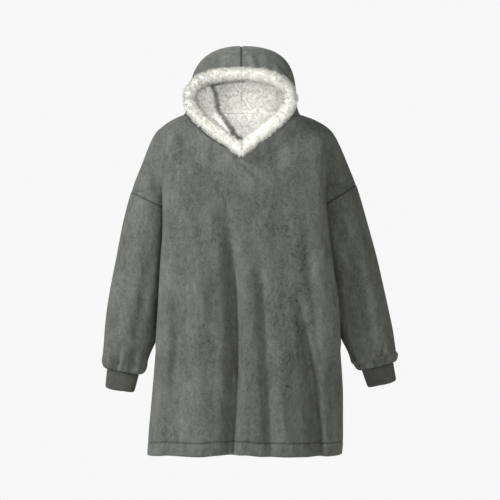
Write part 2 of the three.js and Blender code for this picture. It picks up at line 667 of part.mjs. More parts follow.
// The seam between the hood and the body's neckline, as points with outward normals: up the front panel's
// edge to the shoulder point, then round the back to the corner, and from there across to the middle.
function neckSeam(side) {
  const ends = UPPER_ROWS.slice(V_ROW).map((row) => row.front);
  const front = ends.map((z) => {
    const along = alongAt(side, 'front', z, read(NECKLINE, 'z', side, z));
    return { point: bodyPoint(side, 'front', z, along), normal: bodyNormal(side, 'front', z, along) };
  });
  const top = UPPER_ROWS[UPPER_ROWS.length - 1].z;
  const ridge = { point: bodyPoint(side, 'front', top, 0), normal: edgeNormal(side, 'front', top) };
  const backPoint = (along) => {
    const z = mix(top, BACK_NECK_RISE, smooth(TURN, MIDDLE, along));
    const point = bodyPoint(side, 'back', z, along);
    return { point, normal: levelNormal(side, point) };
  };
  const corner = alongAt(side, 'back', 0, NECK_CORNER * read(TORSO, 'z', side, 0));
  const round = NECK_STEPS.corner - NECK_STEPS.shoulder;
  const across = HOOP_POINTS.lower + HOOP_POINTS.arch;
  return [
    ...front,
    ridge,
    ...Array.from({ length: round }, (_, k) => backPoint((corner * (k + 1)) / round)),
    ...Array.from({ length: across }, (_, k) => backPoint(mix(corner, MIDDLE, (k + 1) / across))),
  ].map(({ point, normal }, k, seam) => {
    const ahead = seam[Math.min(k + 1, seam.length - 1)].point;
    const behind = seam[Math.max(k - 1, 0)].point;
    const away = ahead.clone().sub(behind).cross(normal).normalize();
    if (k === 0 || k >= NECK_STEPS.shoulder) away.set(0, 0, 1);
    if (away.z < 0) away.negate();
    return { point: point.clone().addScaledVector(away, HOOD_GAP), normal };
  });
}

// Level outward normal at the back of the neck.
function levelNormal(side, point) {
  const width = read(TORSO, 'z', side, 0);
  const depth = read(TORSO, 'z', 'back', 0);
  return new THREE.Vector3(point.x / width ** 2, point.y / depth ** 2, 0).normalize();
}

function bezier(points, t) {
  const [a, b, c, d] = points;
  return new THREE.CubicBezierCurve3(a, b, c, d).getPoint(t);
}

// Evens out the normals of rows of points, apart from those that are given, and keeps them.
function evenNormals(sheet, rows) {
  const given = sheet.points.map(({ normal }) => normal !== null);
  for (let pass = 0; pass < 3; pass += 1) {
    const normals = sheet.normals();
    rows.forEach((row, r) => {
      row.forEach((index, c) => {
        if (given[index]) return;
        const sum = normals[index].clone().multiplyScalar(2);
        for (const near of [rows[r - 1]?.[c], rows[r + 1]?.[c], row[c - 1], row[c + 1]]) {
          if (near !== undefined) sum.add(normals[near]);
        }
        sheet.points[index].normal = sum.normalize();
      });
    });
  }
}

// The point that lies at given shares of the way between two points, in x, y and z.
function between(from, to, [x, y, z]) {
  return new THREE.Vector3(mix(from.x, to.x, x), mix(from.y, to.y, y), mix(from.z, to.z, z));
}

// Half a hoop: up from the neck seam to its widest point, then over in an arch to the centre seam.
function halfHoop(side, hoop, seam) {
  const lowerCount = HOOP_POINTS.lower;
  const archCount = HOOP_POINTS.arch;
  if (hoop.step === NECK_STEPS.corner) return seam.slice(NECK_STEPS.corner).map(({ point }) => point);
  const { sign } = SIDES[side];
  const before = seam[Math.floor(hoop.step)].point;
  const after = seam[Math.ceil(hoop.step)].point;
  const start = before.clone().lerp(after, hoop.step - Math.floor(hoop.step));
  const wide = new THREE.Vector3(sign * hoop[side], ...hoop.wide);
  const top = new THREE.Vector3(V_X, ...hoop.top);
  const across = hoop.step === 0 ? RIM_EARLY[side] : LOWER_SHAPE.across;
  const leave = between(start, wide, [across, ...LOWER_SHAPE.leave]);
  const lower = [start, leave, between(start, wide, [1, ...LOWER_SHAPE.reach]), wide];
  const arch = hoop.arch[side];
  const over = [wide, between(wide, top, [0, arch, arch]), between(wide, top, [1 - arch, 1, 1]), top];
  return [
    ...Array.from({ length: lowerCount }, (_, i) => bezier(lower, i / lowerCount)),
    ...Array.from({ length: archCount + 1 }, (_, i) => bezier(over, i / archCount)),
  ];
}

// One half of the hood's shell, from the rim to the back of the neck.
function hoodHalf(side) {
  const sheet = new Sheet();
  const seam = neckSeam(side);
  const hoops = HOOPS.map((hoop) => halfHoop(side, hoop, seam));
  const steps = NECK_STEPS.corner;
  const places = HOOPS.map((hoop, k) => ({ step: hoop.step, share: k / (HOOPS.length - 1) }));
  const strips = hoops[0].map((_, i) => {
    const curve = new THREE.CatmullRomCurve3(hoops.map((hoop) => hoop[i]), false, 'centripetal');
    return Array.from({ length: steps + 1 }, (__, h) => curve.getPoint(read(places, 'step', 'share', h)));
  });
  const last = strips.length - 1;
  const rows = Array.from({ length: steps + 1 }, (_, h) =>
    strips.map((strip, i) => {
      const onSeam = i === 0 ? seam[h] : h === steps ? seam[steps + i] : null;
      const point = (onSeam?.point ?? strip[h]).clone();
      if (i === last) point.x += SIDES[side].sign * (SEAM / 2);
      return sheet.add(point, PLUSH, onSeam?.normal ?? null);
    }),
  );
  sheet.join(rows, side === 'left');
  evenNormals(sheet, rows);
  rows.slice(0, -1).forEach((row) => sheet.points[row[last]].normal.setX(0).normalize());
  rows[0].slice(1).forEach((index) => {
    const { normal } = sheet.points[index];
    normal.setY(Math.min(normal.y, 0)).normalize();
  });
  return sheet;
}

// One half of the roll of fleece round the hood's opening, closed at both ends.
function rollHalf(side) {
  const rim = halfHoop(side, HOOPS[0], neckSeam(side));
  const forward = ROLL.halfDepth + ROLL_GAP;
  const path = new THREE.CatmullRomCurve3(rim, false, 'centripetal');
  const { sign } = SIDES[side];
  const centre = new THREE.Vector3(V_X, 0, 0);
  const points = [];
  const rings = [];
  for (let s = 0; s <= ROLL.steps; s += 1) {
    const t = s / ROLL.steps;
    const at = path.getPoint(t);
    const tangent = path.getTangent(t);
    const out = new THREE.Vector3(tangent.z, 0, -tangent.x).normalize();
    if (out.dot(at.clone().sub(centre).setY(0)) < 0) out.negate();
    const mitre = s === 0 ? -1 : s === ROLL.steps ? 1 : 0;
    if (mitre) out.set(0, 0, mitre);
    const ring = Array.from({ length: ROLL.sides }, (_, k) => {
      const a = (2 * Math.PI * k) / ROLL.sides;
      const point = at.clone().addScaledVector(out, ROLL.halfWidth * Math.cos(a) - ROLL.inset);
      point.y += -forward + ROLL.halfDepth * Math.sin(a);
      if (mitre) point.x = V_X + sign * (SEAM / 2);
      point.x = sign * Math.max(sign * point.x, sign * V_X + SEAM / 2);
      points.push(point);
      return points.length - 1;
    });
    rings.push(ring);
  }
  return tubeSolid(points, rings, side === 'right');
}

// A closed solid from rings of points, with a flat fan at each end.
function tubeSolid(points, rings, turned) {
  const all = [...points];
  const triangles = [];
  const add = (a, b, c) => triangles.push(...(turned ? [a, c, b] : [a, b, c]));
  for (let r = 0; r + 1 < rings.length; r += 1) {
    rings[r].forEach((a, k) => {
      const b = rings[r][(k + 1) % rings[r].length];
      const c = rings[r + 1][(k + 1) % rings[r].length];
      const d = rings[r + 1][k];
      add(a, b, c);
      add(a, c, d);
    });
  }
  for (const [ring, end] of [[rings[0], false], [rings[rings.length - 1], true]]) {
    const centre = ring.reduce((sum, i) => sum.add(points[i]), new THREE.Vector3()).divideScalar(ring.length);
    all.push(centre);
    ring.forEach((a, k) => {
      const b = ring[(k + 1) % ring.length];
      if (end) add(a, b, all.length - 1);
      else add(b, a, all.length - 1);
    });
  }
  const geometry = new THREE.BufferGeometry().setFromPoints(all);
  geometry.setIndex(triangles);
  return geometry;
}

// The fleece that shows inside the back of the neck, below the hood's seam, lying on the back panel.
function neckLining() {
  const sheet = new Sheet();
  const rows = Array.from({ length: NECK_LINING.rows + 1 }, (_, r) => {
    const down = r / NECK_LINING.rows;
    const z = BACK_NECK_RISE - NECK_LINING.below - NECK_LINING.depth * down;
    return Array.from({ length: NECK_LINING.columns + 1 }, (_, c) => {
      const half = NECK_LINING.halfWidth * (1 - NECK_LINING.narrowing * down);
      const x = mix(-half, half, c / NECK_LINING.columns);
      const side = x < 0 ? 'right' : 'left';
      const point = bodyPoint(side, 'back', z, alongAt(side, 'back', z, Math.abs(x)));
      return sheet.add(point, FLEECE, null);
    });
  });
  sheet.join(rows, false);
  return liningOf(sheet, PLUSH + NECK_LINING_GAP, FLEECE);
}

const plush = new THREE.MeshStandardMaterial({ color: COLOURS.plush, roughness: 0.95, metalness: 0 });
const knit = new THREE.MeshStandardMaterial({ color: COLOURS.knit, roughness: 0.95, metalness: 0 });
const fleece = new THREE.MeshStandardMaterial({ color: COLOURS.fleece, roughness: 1, metalness: 0 });

const garment = new THREE.Group();

function place(name, geometry, material) {
  const mesh = new THREE.Mesh(geometry, material);
  mesh.name = name;
  garment.add(mesh);
}

place('front_panel', bodyPanel('front').solid(), plush);
place('back_panel', bodyPanel('back').solid(), plush);
for (const side of ['right', 'left']) {
  const shell = hoodHalf(side);
  place(`sleeve_${side}`, sleeve(side).solid(), plush);
  place(`cuff_${side}`, cuff(side).solid(), knit);
  place(`hood_${side}`, shell.solid(), plush);
  place(`hood_lining_${side}`, liningOf(shell, PLUSH + HOOD_LINING_GAP, FLEECE).solid(), fleece);
  place(`hood_roll_${side}`, rollHalf(side), fleece);
}
place('neck_lining', neckLining().solid(), fleece);

export default garment;
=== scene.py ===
# A hooded wearable blanket of brushed plush, filled out as if worn, with nobody in it.
# Its hood is lined and edged with curly fleece. Sizes in the tables are millimetres and degrees.
import itertools
import math

import bpy
import numpy as np
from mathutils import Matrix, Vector
from mathutils.kdtree import KDTree


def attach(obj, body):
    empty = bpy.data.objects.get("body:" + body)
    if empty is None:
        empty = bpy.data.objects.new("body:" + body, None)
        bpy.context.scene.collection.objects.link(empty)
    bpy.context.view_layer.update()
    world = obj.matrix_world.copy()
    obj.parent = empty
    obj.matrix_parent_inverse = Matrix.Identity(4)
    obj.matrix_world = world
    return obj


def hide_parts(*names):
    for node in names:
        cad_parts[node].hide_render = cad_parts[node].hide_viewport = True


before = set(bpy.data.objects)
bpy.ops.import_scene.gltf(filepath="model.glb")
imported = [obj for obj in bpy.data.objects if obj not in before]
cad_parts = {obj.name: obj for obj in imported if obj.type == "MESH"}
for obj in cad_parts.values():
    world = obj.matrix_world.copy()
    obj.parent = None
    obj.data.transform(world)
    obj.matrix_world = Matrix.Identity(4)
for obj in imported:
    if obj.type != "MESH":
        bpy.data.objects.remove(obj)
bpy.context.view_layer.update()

MM = 0.001
SIGN = {"right": -1, "left": 1}  # the wearer's right is -X
OUT = {"front": -1, "back": 1}  # the front faces -Y

# Cloth
PLUSH = 3.0  # wall of the plush
KNIT = 2.4  # wall of the rib knit
BACKING = 2.4  # wall of the fleece without its pile
HEM_WALL = 6.0  # wall of the turned-up hem
SEAM = 0.3  # gap between two pieces that are sewn together
HOOD_GAP = 2.5 * SEAM  # gap between the hood and the neck
ROLL_GAP = 2 * SEAM  # gap between the roll and the hood's front edge
HOOD_LINING_GAP = 3 * SEAM
NECK_LINING_GAP = 4 * SEAM
ARMPIT_ROOM = 3.5  # room between the body and the sleeve at the armpit
NEST = 7.0  # more room between them below it
FOLD_ROOM = 8.0  # how far the edge of the front stands past the arm, for the folds to clear the sleeve
BACK_NARROWER = 4.0  # how much narrower than the front the back is on each side


def table(columns, *rows):
    """A table with named columns."""
    return dict(zip(columns.split(), np.array(rows, float).T))


def rows_of(kept):
    """The rows of a table, each as a dict."""
    names = list(kept)
    return [dict(zip(names, values)) for values in zip(*kept.values())]


ARMHOLE = {"right": (-212.0, -270.0), "left": (-193.0, -264.0)}  # heights of its top and of the armpit
CUFFS = {
    "right": {"x": -328.5, "z": -697.0, "lean": 10.0, "drop": 49.0},
    "left": {"x": 357.0, "z": -683.0, "lean": 14.0, "drop": 48.0},
}
CUFF = {"y": -22, "forward": 3, "half_width": 43, "half_depth": 17, "hem_width": 39, "hem_depth": 15}
CUFF_EDGE = {"softer_from": 0.9, "least_rib": 0.35, "turned_from": 0.93, "turned_in": 0.8}
CUFF_SAG = {"height": 2.2, "from": 0.3, "angle": 40}
RIBS = {"count": 60, "height": 0.7, "power": 0.7, "columns": 6, "rows": 16}

# Outermost point of the shoulders and sleeves, as a distance from the middle
OUTLINE = table(
    "z right left",
    (0, 159, 141), (-19, 200, 192), (-36, 224, 221), (-50, 240, 236), (-80, 257, 254),
    (-135, 279, 278), (-196, 303, 302), (-292, 329, 330), (-396, 349, 358), (-463, 362, 373),
    (-532, 373, 388), (-593, 379, 400), (-640, 381, 405), (-700, 379, 400),
)

# The arm inside each sleeve: half its width, half its depth, and how far back its middle is
ARM = table(
    "z across deep y",
    (0, 24, 34, 5), (-36, 30, 42, 6), (-80, 44, 56, 9), (-135, 56, 68, 12), (-212, 65, 78, 12),
    (-300, 70, 78, 9), (-400, 75, 74, 4), (-500, 77, 66, -4), (-600, 72.5, 57, -12),
    (-660, 59.5, 46, -18), (-700, 52.5, 36, -22),
)

# The body: the width of its front on each side, and its depth before and behind the shoulder line
TORSO = table(
    "z right left front back",
    (0, 157, 138, 70, 78), (-50, 219, 216, 98, 100), (-115, 221, 218, 114, 112),
    (-213, 221, 216, 136, 122), (-300, 220, 223, 144, 124), (-416, 227, 237, 149, 126),
    (-514, 232, 251, 153, 128), (-619, 239, 256, 157, 132), (-767, 252, 265, 161, 139),
    (-889, 262, 265, 165, 145), (-923, 264, 262, 166, 147),
)

# Quarter section of the body, from the side seam to the middle, as shares of its width and depth:
# beside the sleeve, where it falls free below the sleeve, and on the shoulders
QUARTER = table(
    "beside_x beside_y free_x free_y shoulder_x shoulder_y",
    (1.0, 0.0, 1.0, 0.0, 1.0, 0.0),
    (1.0, 0.1, 0.992, 0.2, 0.975, 0.24),
    (1.0, 0.3, 0.965, 0.37, 0.94, 0.42),
    (1.0, 0.64, 0.915, 0.53, 0.87, 0.58),
    (0.945, 0.8, 0.84, 0.68, 0.76, 0.73),
    (0.66, 0.93, 0.61, 0.87, 0.57, 0.88),
    (0.33, 0.985, 0.32, 0.97, 0.3, 0.97),
    (0.0, 1.0, 0.0, 1.0, 0.0, 1.0),
    (-0.33, 0.985, -0.32, 0.97, -0.3, 0.97),
)
EDGE_POINT = 3  # which of those points is the front's edge beside the sleeve
MIDDLE = 7  # which of them is the middle of the body
TURN = 2.4  # from this place on, a row bends from its height at the side to that in the middle

FALLS_FREE = (-600, -730)  # heights between which the body comes free of the sleeves
SHOULDERS = (-100, -36)  # heights between which it takes the shoulders' section

# Where the body turns from the arm into its own front, as an angle round the arm,
# against height: 0 at the armpit, 1 at the top of the armhole seam
VALLEY = table("up angle", (0, 165), (0.3, 151), (0.6, 138), (1, 122), (2.4, 84), (4, 60))
ARMPIT_FROM = 0.3  # the height, as in VALLEY, from which the armpit's room grows down to 0
NEST_FULL = -0.8  # the height at which NEST is all there

# Standing folds, from x0, z0 down to x1, z1 with a bow to +X. A trough has a depth below 0.
FOLD_COLUMNS = "x0 z0 x1 z1 bow to_right to_left depth"
FOLD_GROWS = 0.45  # share of a fold's length over which it grows to its depth
FOLDS_FADE = (0.78, 0.96)  # shares of the body's half width between which they fade
FOLDS = {
    "front": table(
        FOLD_COLUMNS,
        (-52, -190, -36, -930, 20, 22, 12, -37), (38, -290, 70, -930, 0, 16, 15, -15),
        (134, -430, 196, -930, 6, 18, 14, -27), (152, -250, 194, -660, 4, 18, 14, -7),
        (-160, -440, -208, -930, 0, 18, 26, -13), (-106, -260, -118, -930, -6, 30, 24, 10),
        (92, -520, 112, -930, 4, 26, 22, 6),
    ),
    "back": table(
        FOLD_COLUMNS,
        (-120, -230, -168, -930, -8, 24, 20, -14), (-38, -330, -62, -930, 6, 22, 26, -17),
        (30, -210, 34, -930, 10, 20, 22, -13), (98, -300, 120, -930, -6, 28, 18, -18),
        (160, -460, 200, -930, 0, 16, 18, -9),
    ),
}

# Patches where the plush is painted darker, with its swirls stronger: middle, half width, half height, how
# much. The strips across the hem band, at a height of -908, are painted shade.
PATCH_COLUMNS = "x z wide tall amount"
PATCHES = {
    "front_panel": table(
        PATCH_COLUMNS,
        (-160, -250, 50, 66, 0.6), (135, -400, 46, 110, 1.0), (140, -560, 40, 90, 1.0),
        (36, -310, 22, 40, 0.9), (70, -270, 60, 60, 0.7), (90, -520, 30, 60, 0.7),
        (-68, -340, 22, 56, 0.9), (-118, -590, 46, 76, 0.8), (112, -690, 40, 90, 0.8),
        (-150, -120, 60, 40, 0.5), (-58, -908, 64, 13, 1.2), (150, -908, 70, 12, 0.9),
        (-200, -800, 40, 90, 0.5), (60, -440, 30, 60, 0.6),
    ),
    "back_panel": table(
        PATCH_COLUMNS,
        (-120, -300, 60, 90, 0.8), (110, -420, 50, 120, 0.9), (20, -600, 46, 100, 0.8),
        (-150, -760, 50, 80, 0.8), (90, -800, 60, 60, 0.7), (0, -180, 80, 50, 0.5), (0, -908, 120, 12, 1.0),
    ),
}
PATCH_ELSEWHERE = 0.12  # how much all the rest of the plush is darkened that way

# Small creases: from one end to the other, how wide, and how deep at the middle
CREASE_COLUMNS = "x0 z0 x1 z1 width depth"
CREASES = {
    "front": table(
        CREASE_COLUMNS,
        (-26, -120, 46, -188, 6, -7), (-128, -250, -96, -420, 16, -3), (-150, -560, -112, -640, 12, 2.6),
        (96, -210, 112, -330, 16, -4), (150, -150, 120, -260, 20, -3), (-206, -300, -214, -560, 12, 3),
        (206, -320, 226, -520, 12, 3), (-180, -700, -196, -860, 18, 3), (92, -560, 108, -860, 20, 3.5),
        (8, -330, 14, -620, 14, 3),
    ),
    "back": table(
        CREASE_COLUMNS,
        (-60, -60, 60, -74, 12, -2.5), (-150, -150, -110, -300, 18, -3.5), (150, -140, 104, -290, 18, -3.5),
        (0, -420, 8, -700, 16, 3), (-190, -520, -205, -800, 14, -4), (196, -560, 214, -840, 14, -3),
    ),
}

# Folds along a sleeve, by the angle round the arm: 0 outside, 90 in front
SLEEVE_FOLD_COLUMNS = "angle spread top bottom depth"
SLEEVE_FOLD_GROWS = {"down": 90, "up": 60}  # how far from its ends a fold is at its depth
SLEEVE_FOLDS = {
    "right": table(
        SLEEVE_FOLD_COLUMNS,
        (104, 13, -330, -640, -5), (60, 12, -420, -660, -4), (262, 16, -300, -650, -7),
        (84, 10, -300, -560, 2.0), (116, 24, -258, -520, 5),
    ),
    "left": table(
        SLEEVE_FOLD_COLUMNS,
        (84, 12, -290, -680, -11), (118, 14, -480, -640, -4), (284, 16, -300, -650, -7),
        (56, 11, -260, -600, 2.0), (116, 22, -258, -520, 5),
    ),
}
# Pleats at the sleeve's end, drawn in by the cuff, deepest at the cuff
PLEAT_COLUMNS = "angle spread top depth"
PLEATS = {
    "right": table(
        PLEAT_COLUMNS,
        (73, 6, -590, -11), (92, 5, -640, -5), (118, 7, -620, -4), (150, 9, -610, -5),
        (196, 8, -610, -5), (228, 7, -625, -4), (262, 9, -600, -6), (300, 8, -615, -5),
        (336, 8, -610, -4), (20, 9, -620, -4),
    ),
    "left": table(
        PLEAT_COLUMNS,
        (60, 6, -600, -8), (78, 5, -615, -7), (98, 6, -575, -9), (132, 8, -615, -4),
        (164, 9, -600, -5), (204, 8, -610, -5), (240, 8, -600, -6), (276, 7, -620, -5),
        (312, 9, -600, -5), (18, 8, -615, -5),
    ),
}
PLEATS_FULL = -690.0  # height at which the pleats are as deep as they get
GATHERS = {"count": 8, "height": 3.2, "turn": 20, "top": -612, "full": -672, "overhang": 14}
# Diagonal creases on the sleeves. Their x is measured round the arm, from its outside.
ROUND_THE_ARM = 1.25  # millimetres of cloth for each degree
SLEEVE_CREASES = {
    "right": table(CREASE_COLUMNS, (160, -395, 187.5, -340, 7, -4), (155, -300, 182.5, -276, 8, -3)),
    "left": table(CREASE_COLUMNS, (165, -380, 190, -330, 7, -3), (25, -260, 55, -250, 8, -2)),
}

# Rows of the sleeves: just below the seam, at levels that tilt less further down, and where the end turns in
BELOW_SEAM = 14
BELOW_SEAM_SHARES = (0.0, 0.09, 0.19, 0.32, 0.5, 0.72)
SLEEVE_LEVELS = (-300, -350, -410, -470, -530, -585, -625, -655)
SLEEVE_ROUND = 96  # columns of points round a sleeve
SEAM_TILT = 0.44  # tilt of the highest level
# The end turns in from its overhang to the cuff: how far down the cuff, and how far outside it
SLEEVE_ENDS = table("down grow", (-0.42, 14), (-0.2, 11.5), (-0.06, 7), (-0.012, 1.5))
END_ROWS = {"before": 8, "bend": 21, "last": 4}
PLEATS_TURNED = 0.8  # share of the pleats' depth that is left in the turned-in end

# How far the hem's edge dips below its mean height, in front and behind
HEM_DIP = table(
    "x front back",
    (-264, -4, -4), (-196, -9, -3), (-128, -8, 3), (-66, -12, -2), (0, -13, 2),
    (44, -9, -3), (150, -7, 3), (262, -6, -6),
)
HEM_Z = -923
DIP_FROM = (-765, -885)  # heights between which the dip grows
STITCH_Z = -889
# The hem's stitching draws the cloth in; dark and dark_reach give the strength and width of a darker line
# along it, partly pressed pile and partly painted shade in its groove.
STITCH = {"draw": 1.6, "reach": 3.2, "sideways": 0.6, "dark": 0.7, "dark_reach": 2.2}
BULGE = {"hem": 0.35, "cuff": 0.3}  # how far a turned edge bulges, as a share of its wall
SINK = {"body": (1.3, 6), "sleeve": (1.5, 6), "hood": (3.0, 8)}  # depth and width of the rolled-in seams

# Front neckline, from the point of the V up to the shoulder on each side
V_X = -9
NECKLINE = table(
    "z right left",
    (-114, 9, -9), (-101, 38, 10), (-63, 99, 66), (-36, 131, 100), (-14, 149, 125), (-6, 153, 134),
)
BACK_NECK_RISE = 3

# Rows of the body panels: heights at the side and in the middle
LOWER_ROWS = (-830, -765, -700, -640, -580, -510, -440, -372, -318)
HEM_ROWS = (HEM_Z, -920, -915, -910, -905, -900, -896, -893, -891, STITCH_Z, -887, -885, -882, -878, -872)
ARMPIT_ROW = {"below": 14, "middle": -288}  # the last row below the armpit
ARMHOLE_ANGLES = (180, 165, 150, 135, 120, 90, 60, 30, 0)
ARMHOLE_MIDDLE = (-268, -186)  # heights in the middle for the armhole's lowest and highest row
UPPER_ROWS = table(
    "z front back",
    (-165, -166, -158), (-130, -148, -128), (-96, -131, -98), (-68, -114, -70),
    (-50, -90, -48), (-36, -62, -30), (-20, -33, -13), (-3, -7, BACK_NECK_RISE),
)
V_ROW = 3  # the row that ends at the point of the V
ROW_SPACING = 5.5  # how close the fine rows are
ARMHOLE_FINE = 6  # fine rows for each step of the armhole's angles
SIDE_COLUMNS = 24  # columns up to the place SIDE_END on the quarter section, closer together at the seam
SIDE_END = 4
SIDE_POWER = 1.6
MIDDLE_COLUMNS = 42  # columns from there to the middle

# The hood as hoops, from its front edge to the back of the neck
HOOPS = table(
    "step right left side_y side_z top_y top_z arch_right arch_left",
    (0, 155, 131, -74, 32, -98, 107, 0.7, 0.62),
    (2, 151, 133, -44, 34, -64, 148, 0.7, 0.66),
    (4, 150, 138, -8, 42, -16, 180, 0.66, 0.71),
    (5.5, 145, 134, 32, 48, 40, 174, 0.66, 0.7),
    (7, 131, 122, 64, 44, 86, 131, 0.66, 0.66),
    (8.5, 112, 106, 84, 26, 102, 68, 0.64, 0.64),
)
# How the lower half of a hoop leaves the neck, on x, y and z, and reaches its widest point, on y and z
LOWER_SHAPE = (0.65, 0.35, 0.4, 0.75, 0.7)
RIM_EARLY = {"right": 0.57, "left": 0.46}  # the first of these at the hood's front edge
SHOULDER_STEP = 5  # the hood's step that starts at the shoulder
CORNER_STEP = 10  # the step at which its lower edge turns across the back of the neck
NECK_CORNER = 0.66  # where that is, as a share of the neck's half width
LOWER_POINTS = 5  # points of a hoop up to its widest one
ARCH_POINTS = 7  # points from there to the centre seam
STEP_FINE = 6  # fine steps for each step
POINT_FINE = 5  # fine points for each point
NEAR_SEAM = (0.13, 0.09, 0.055, 0.025)  # more points this close to the centre seam

# Creases on the hood, measured on its cloth: along the hoop from the neck, and back from the rim
PLACE_LENGTH = 25  # length of cloth for each point of a hoop
STEP_LENGTH = 18  # length of cloth for each step
HOOD_CREASES = {
    "right": table(
        CREASE_COLUMNS,
        (276, -24, 292, 46, 7, -4.5), (232, -20, 268, 52, 8, -3.5), (214, -30, 244, 60, 9, 3.5),
        (190, -20, 206, 40, 7, -3), (258, -30, 276, 36, 6, 2.5), (120, 20, 190, 60, 12, -4),
    ),
    "left": table(
        CREASE_COLUMNS,
        (278, -26, 292, 40, 6, -5), (250, -24, 272, 44, 7, -5), (262, -24, 280, 44, 5, 3),
        (226, -30, 244, 60, 9, -4), (120, 16, 236, 20, 9, 5), (130, 36, 240, 44, 12, -5),
    ),
}

# The loose fold of the lining behind the roll on the wearer's right: how far across its edge is, by height
LOBE = table("z x", (80, -97), (50, -88), (12, -82), (-10, -69), (-32, -53), (-69, -29), (-92, -8))
LOBE_MIDDLE = table("place step spread", (0, 0.7, 0.4), (2, 1.3, 0.6), (5, 2.2, 0.9), (12, 2.4, 1.0))
LOBE_ENDS = {"start": 0.1, "full": 1.2, "fading": 5.6, "end": 8.4}

ROLL = {"half_width": 15, "half_depth": 17, "inset": 8, "sides": 36, "steps": 150}
ROLL_PILE = 4.2
# Lumps of the fleece: their size, and how high they rise. Those of the roll lie on broad ones.
HOOD_LUMPS = {"size": 10, "rise": 2.0}
NECK_LUMPS = {"size": 8.5, "rise": 2.2}
ROLL_LUMPS = {"size": 10, "rise": 6.2, "broad_size": 24, "broad_rise": 3.4, "broad_mean": 0.6, "down": 1.6}
SEWN_DOWN = 5  # the hood's lining is flat this close to its centre seam
# Curls: how far apart and how tall they are, then the form of a strand, with the ranges of what varies
LINING_CURLS = {"spacing": 5.2, "height": 3.6}
ROLL_CURLS = {"spacing": 4.2, "height": 6.4}
CURL = {
    "segments": 5, "thick": 1.05, "taper": 0.55, "twist": 0.6, "foot": 0.6, "rise": 1.7, "tight": 0.4,
    "tall": (0.65, 1.1), "radius": (1.4, 3.2), "sweep": (3.4, 5.6),
}
# Painted shade of the fleece, read by its material from the clump attribute, lower values darker and
# creamier: on the linings' lumps, on those of the roll, and up a curl
LINING_SHADE = (0.78, 1.0)
ROLL_SHADE = (0.0, 0.5)
CURL_SHADE = (0.2, 0.45)
NECK_LINING = {"half_width": 104, "depth": 131, "top": 3.2, "columns": 60, "rows": 38, "narrowing": 0.25}


def mix(a, b, share):
    return a + (b - a) * share


def smooth(start, end, value):
    """0 before start and 1 after end, with a smooth step between them. start may be the larger one."""
    t = np.clip((value - start) / (end - start), 0, 1)
    return t * t * (3 - 2 * t)


def read(kept, column, place):
    """A column of a table at any place of its first column, by a smooth curve that never overshoots."""
    key = next(iter(kept.values()))
    order = np.argsort(key)
    at, value = key[order], kept[column][order]
    slope = np.diff(value) / np.diff(at)
    before, after = slope[:-1], slope[1:]
    total = np.where(before * after > 0, before + after, 1)
    inner = np.where(before * after > 0, 2 * before * after / total, 0)
    tangent = np.concatenate([slope[:1], inner, slope[-1:]])
    place = np.clip(place, at[0], at[-1])
    i = np.clip(np.searchsorted(at, place, side="right") - 1, 0, len(at) - 2)
    width = at[i + 1] - at[i]
    t = (place - at[i]) / width
    start = (1 + 2 * t) * (1 - t) ** 2 * value[i] + t * (1 - t) ** 2 * width * tangent[i]
    end = t * t * (3 - 2 * t) * value[i + 1] + t * t * (t - 1) * width * tangent[i + 1]
    return start + end


def curve_at(points, place):
    """Points of centripetal Catmull-Rom curves: points is (N, K, D), and place (N) counts from 0 to K - 1."""
    count = points.shape[1]
    first = 2 * points[:, :1] - points[:, 1:2]
    last = 2 * points[:, -1:] - points[:, -2:-1]
    padded = np.concatenate([first, points, last], axis=1)
    i = np.clip(np.floor(place).astype(int), 0, count - 2)
    t = (place - i)[:, None]
    n = np.arange(len(i))
    p0, p1, p2, p3 = (padded[n, i + k] for k in range(4))
    gaps = [np.sqrt(np.linalg.norm(b - a, axis=1))[:, None] for a, b in ((p0, p1), (p1, p2), (p2, p3))]
    d1 = np.maximum(gaps[1], 1e-4)
    d0 = np.where(gaps[0] < 1e-4, d1, gaps[0])
    d2 = np.where(gaps[2] < 1e-4, d1, gaps[2])
    t1 = ((p1 - p0) / d0 - (p2 - p0) / (d0 + d1) + (p2 - p1) / d1) * d1
    t2 = ((p2 - p1) / d1 - (p3 - p1) / (d1 + d2) + (p3 - p2) / d2) * d1
    cubic = 2 * p1 - 2 * p2 + t1 + t2
    square = -3 * p1 + 3 * p2 - 2 * t1 - t2
    return p1 + t1 * t + square * t**2 + cubic * t**3


def unit(vectors):
    """The vectors, each with a length of 1."""
    length = np.linalg.norm(vectors, axis=-1, keepdims=True)
    return vectors / np.maximum(length, 1e-9)


def arm_at(side, z):
    """Middle, half width, half depth and y of the arm's section."""
    across = read(ARM, "across", z)
    return read(OUTLINE, side, z) - across, across, read(ARM, "deep", z), read(ARM, "y", z)


def seam_angle(side, z):
    """Angle round the arm at which the armhole seam passes a height."""
    top, pit = ARMHOLE[side]
    return np.degrees(np.arccos(2 * np.clip((z - pit) / (top - pit), 0, 1) - 1))


def seam_height(side, angle):
    """Height of the armhole seam at an angle round the arm."""
    top, pit = ARMHOLE[side]
    return mix(pit, top, (1 + np.cos(np.radians(angle))) / 2)


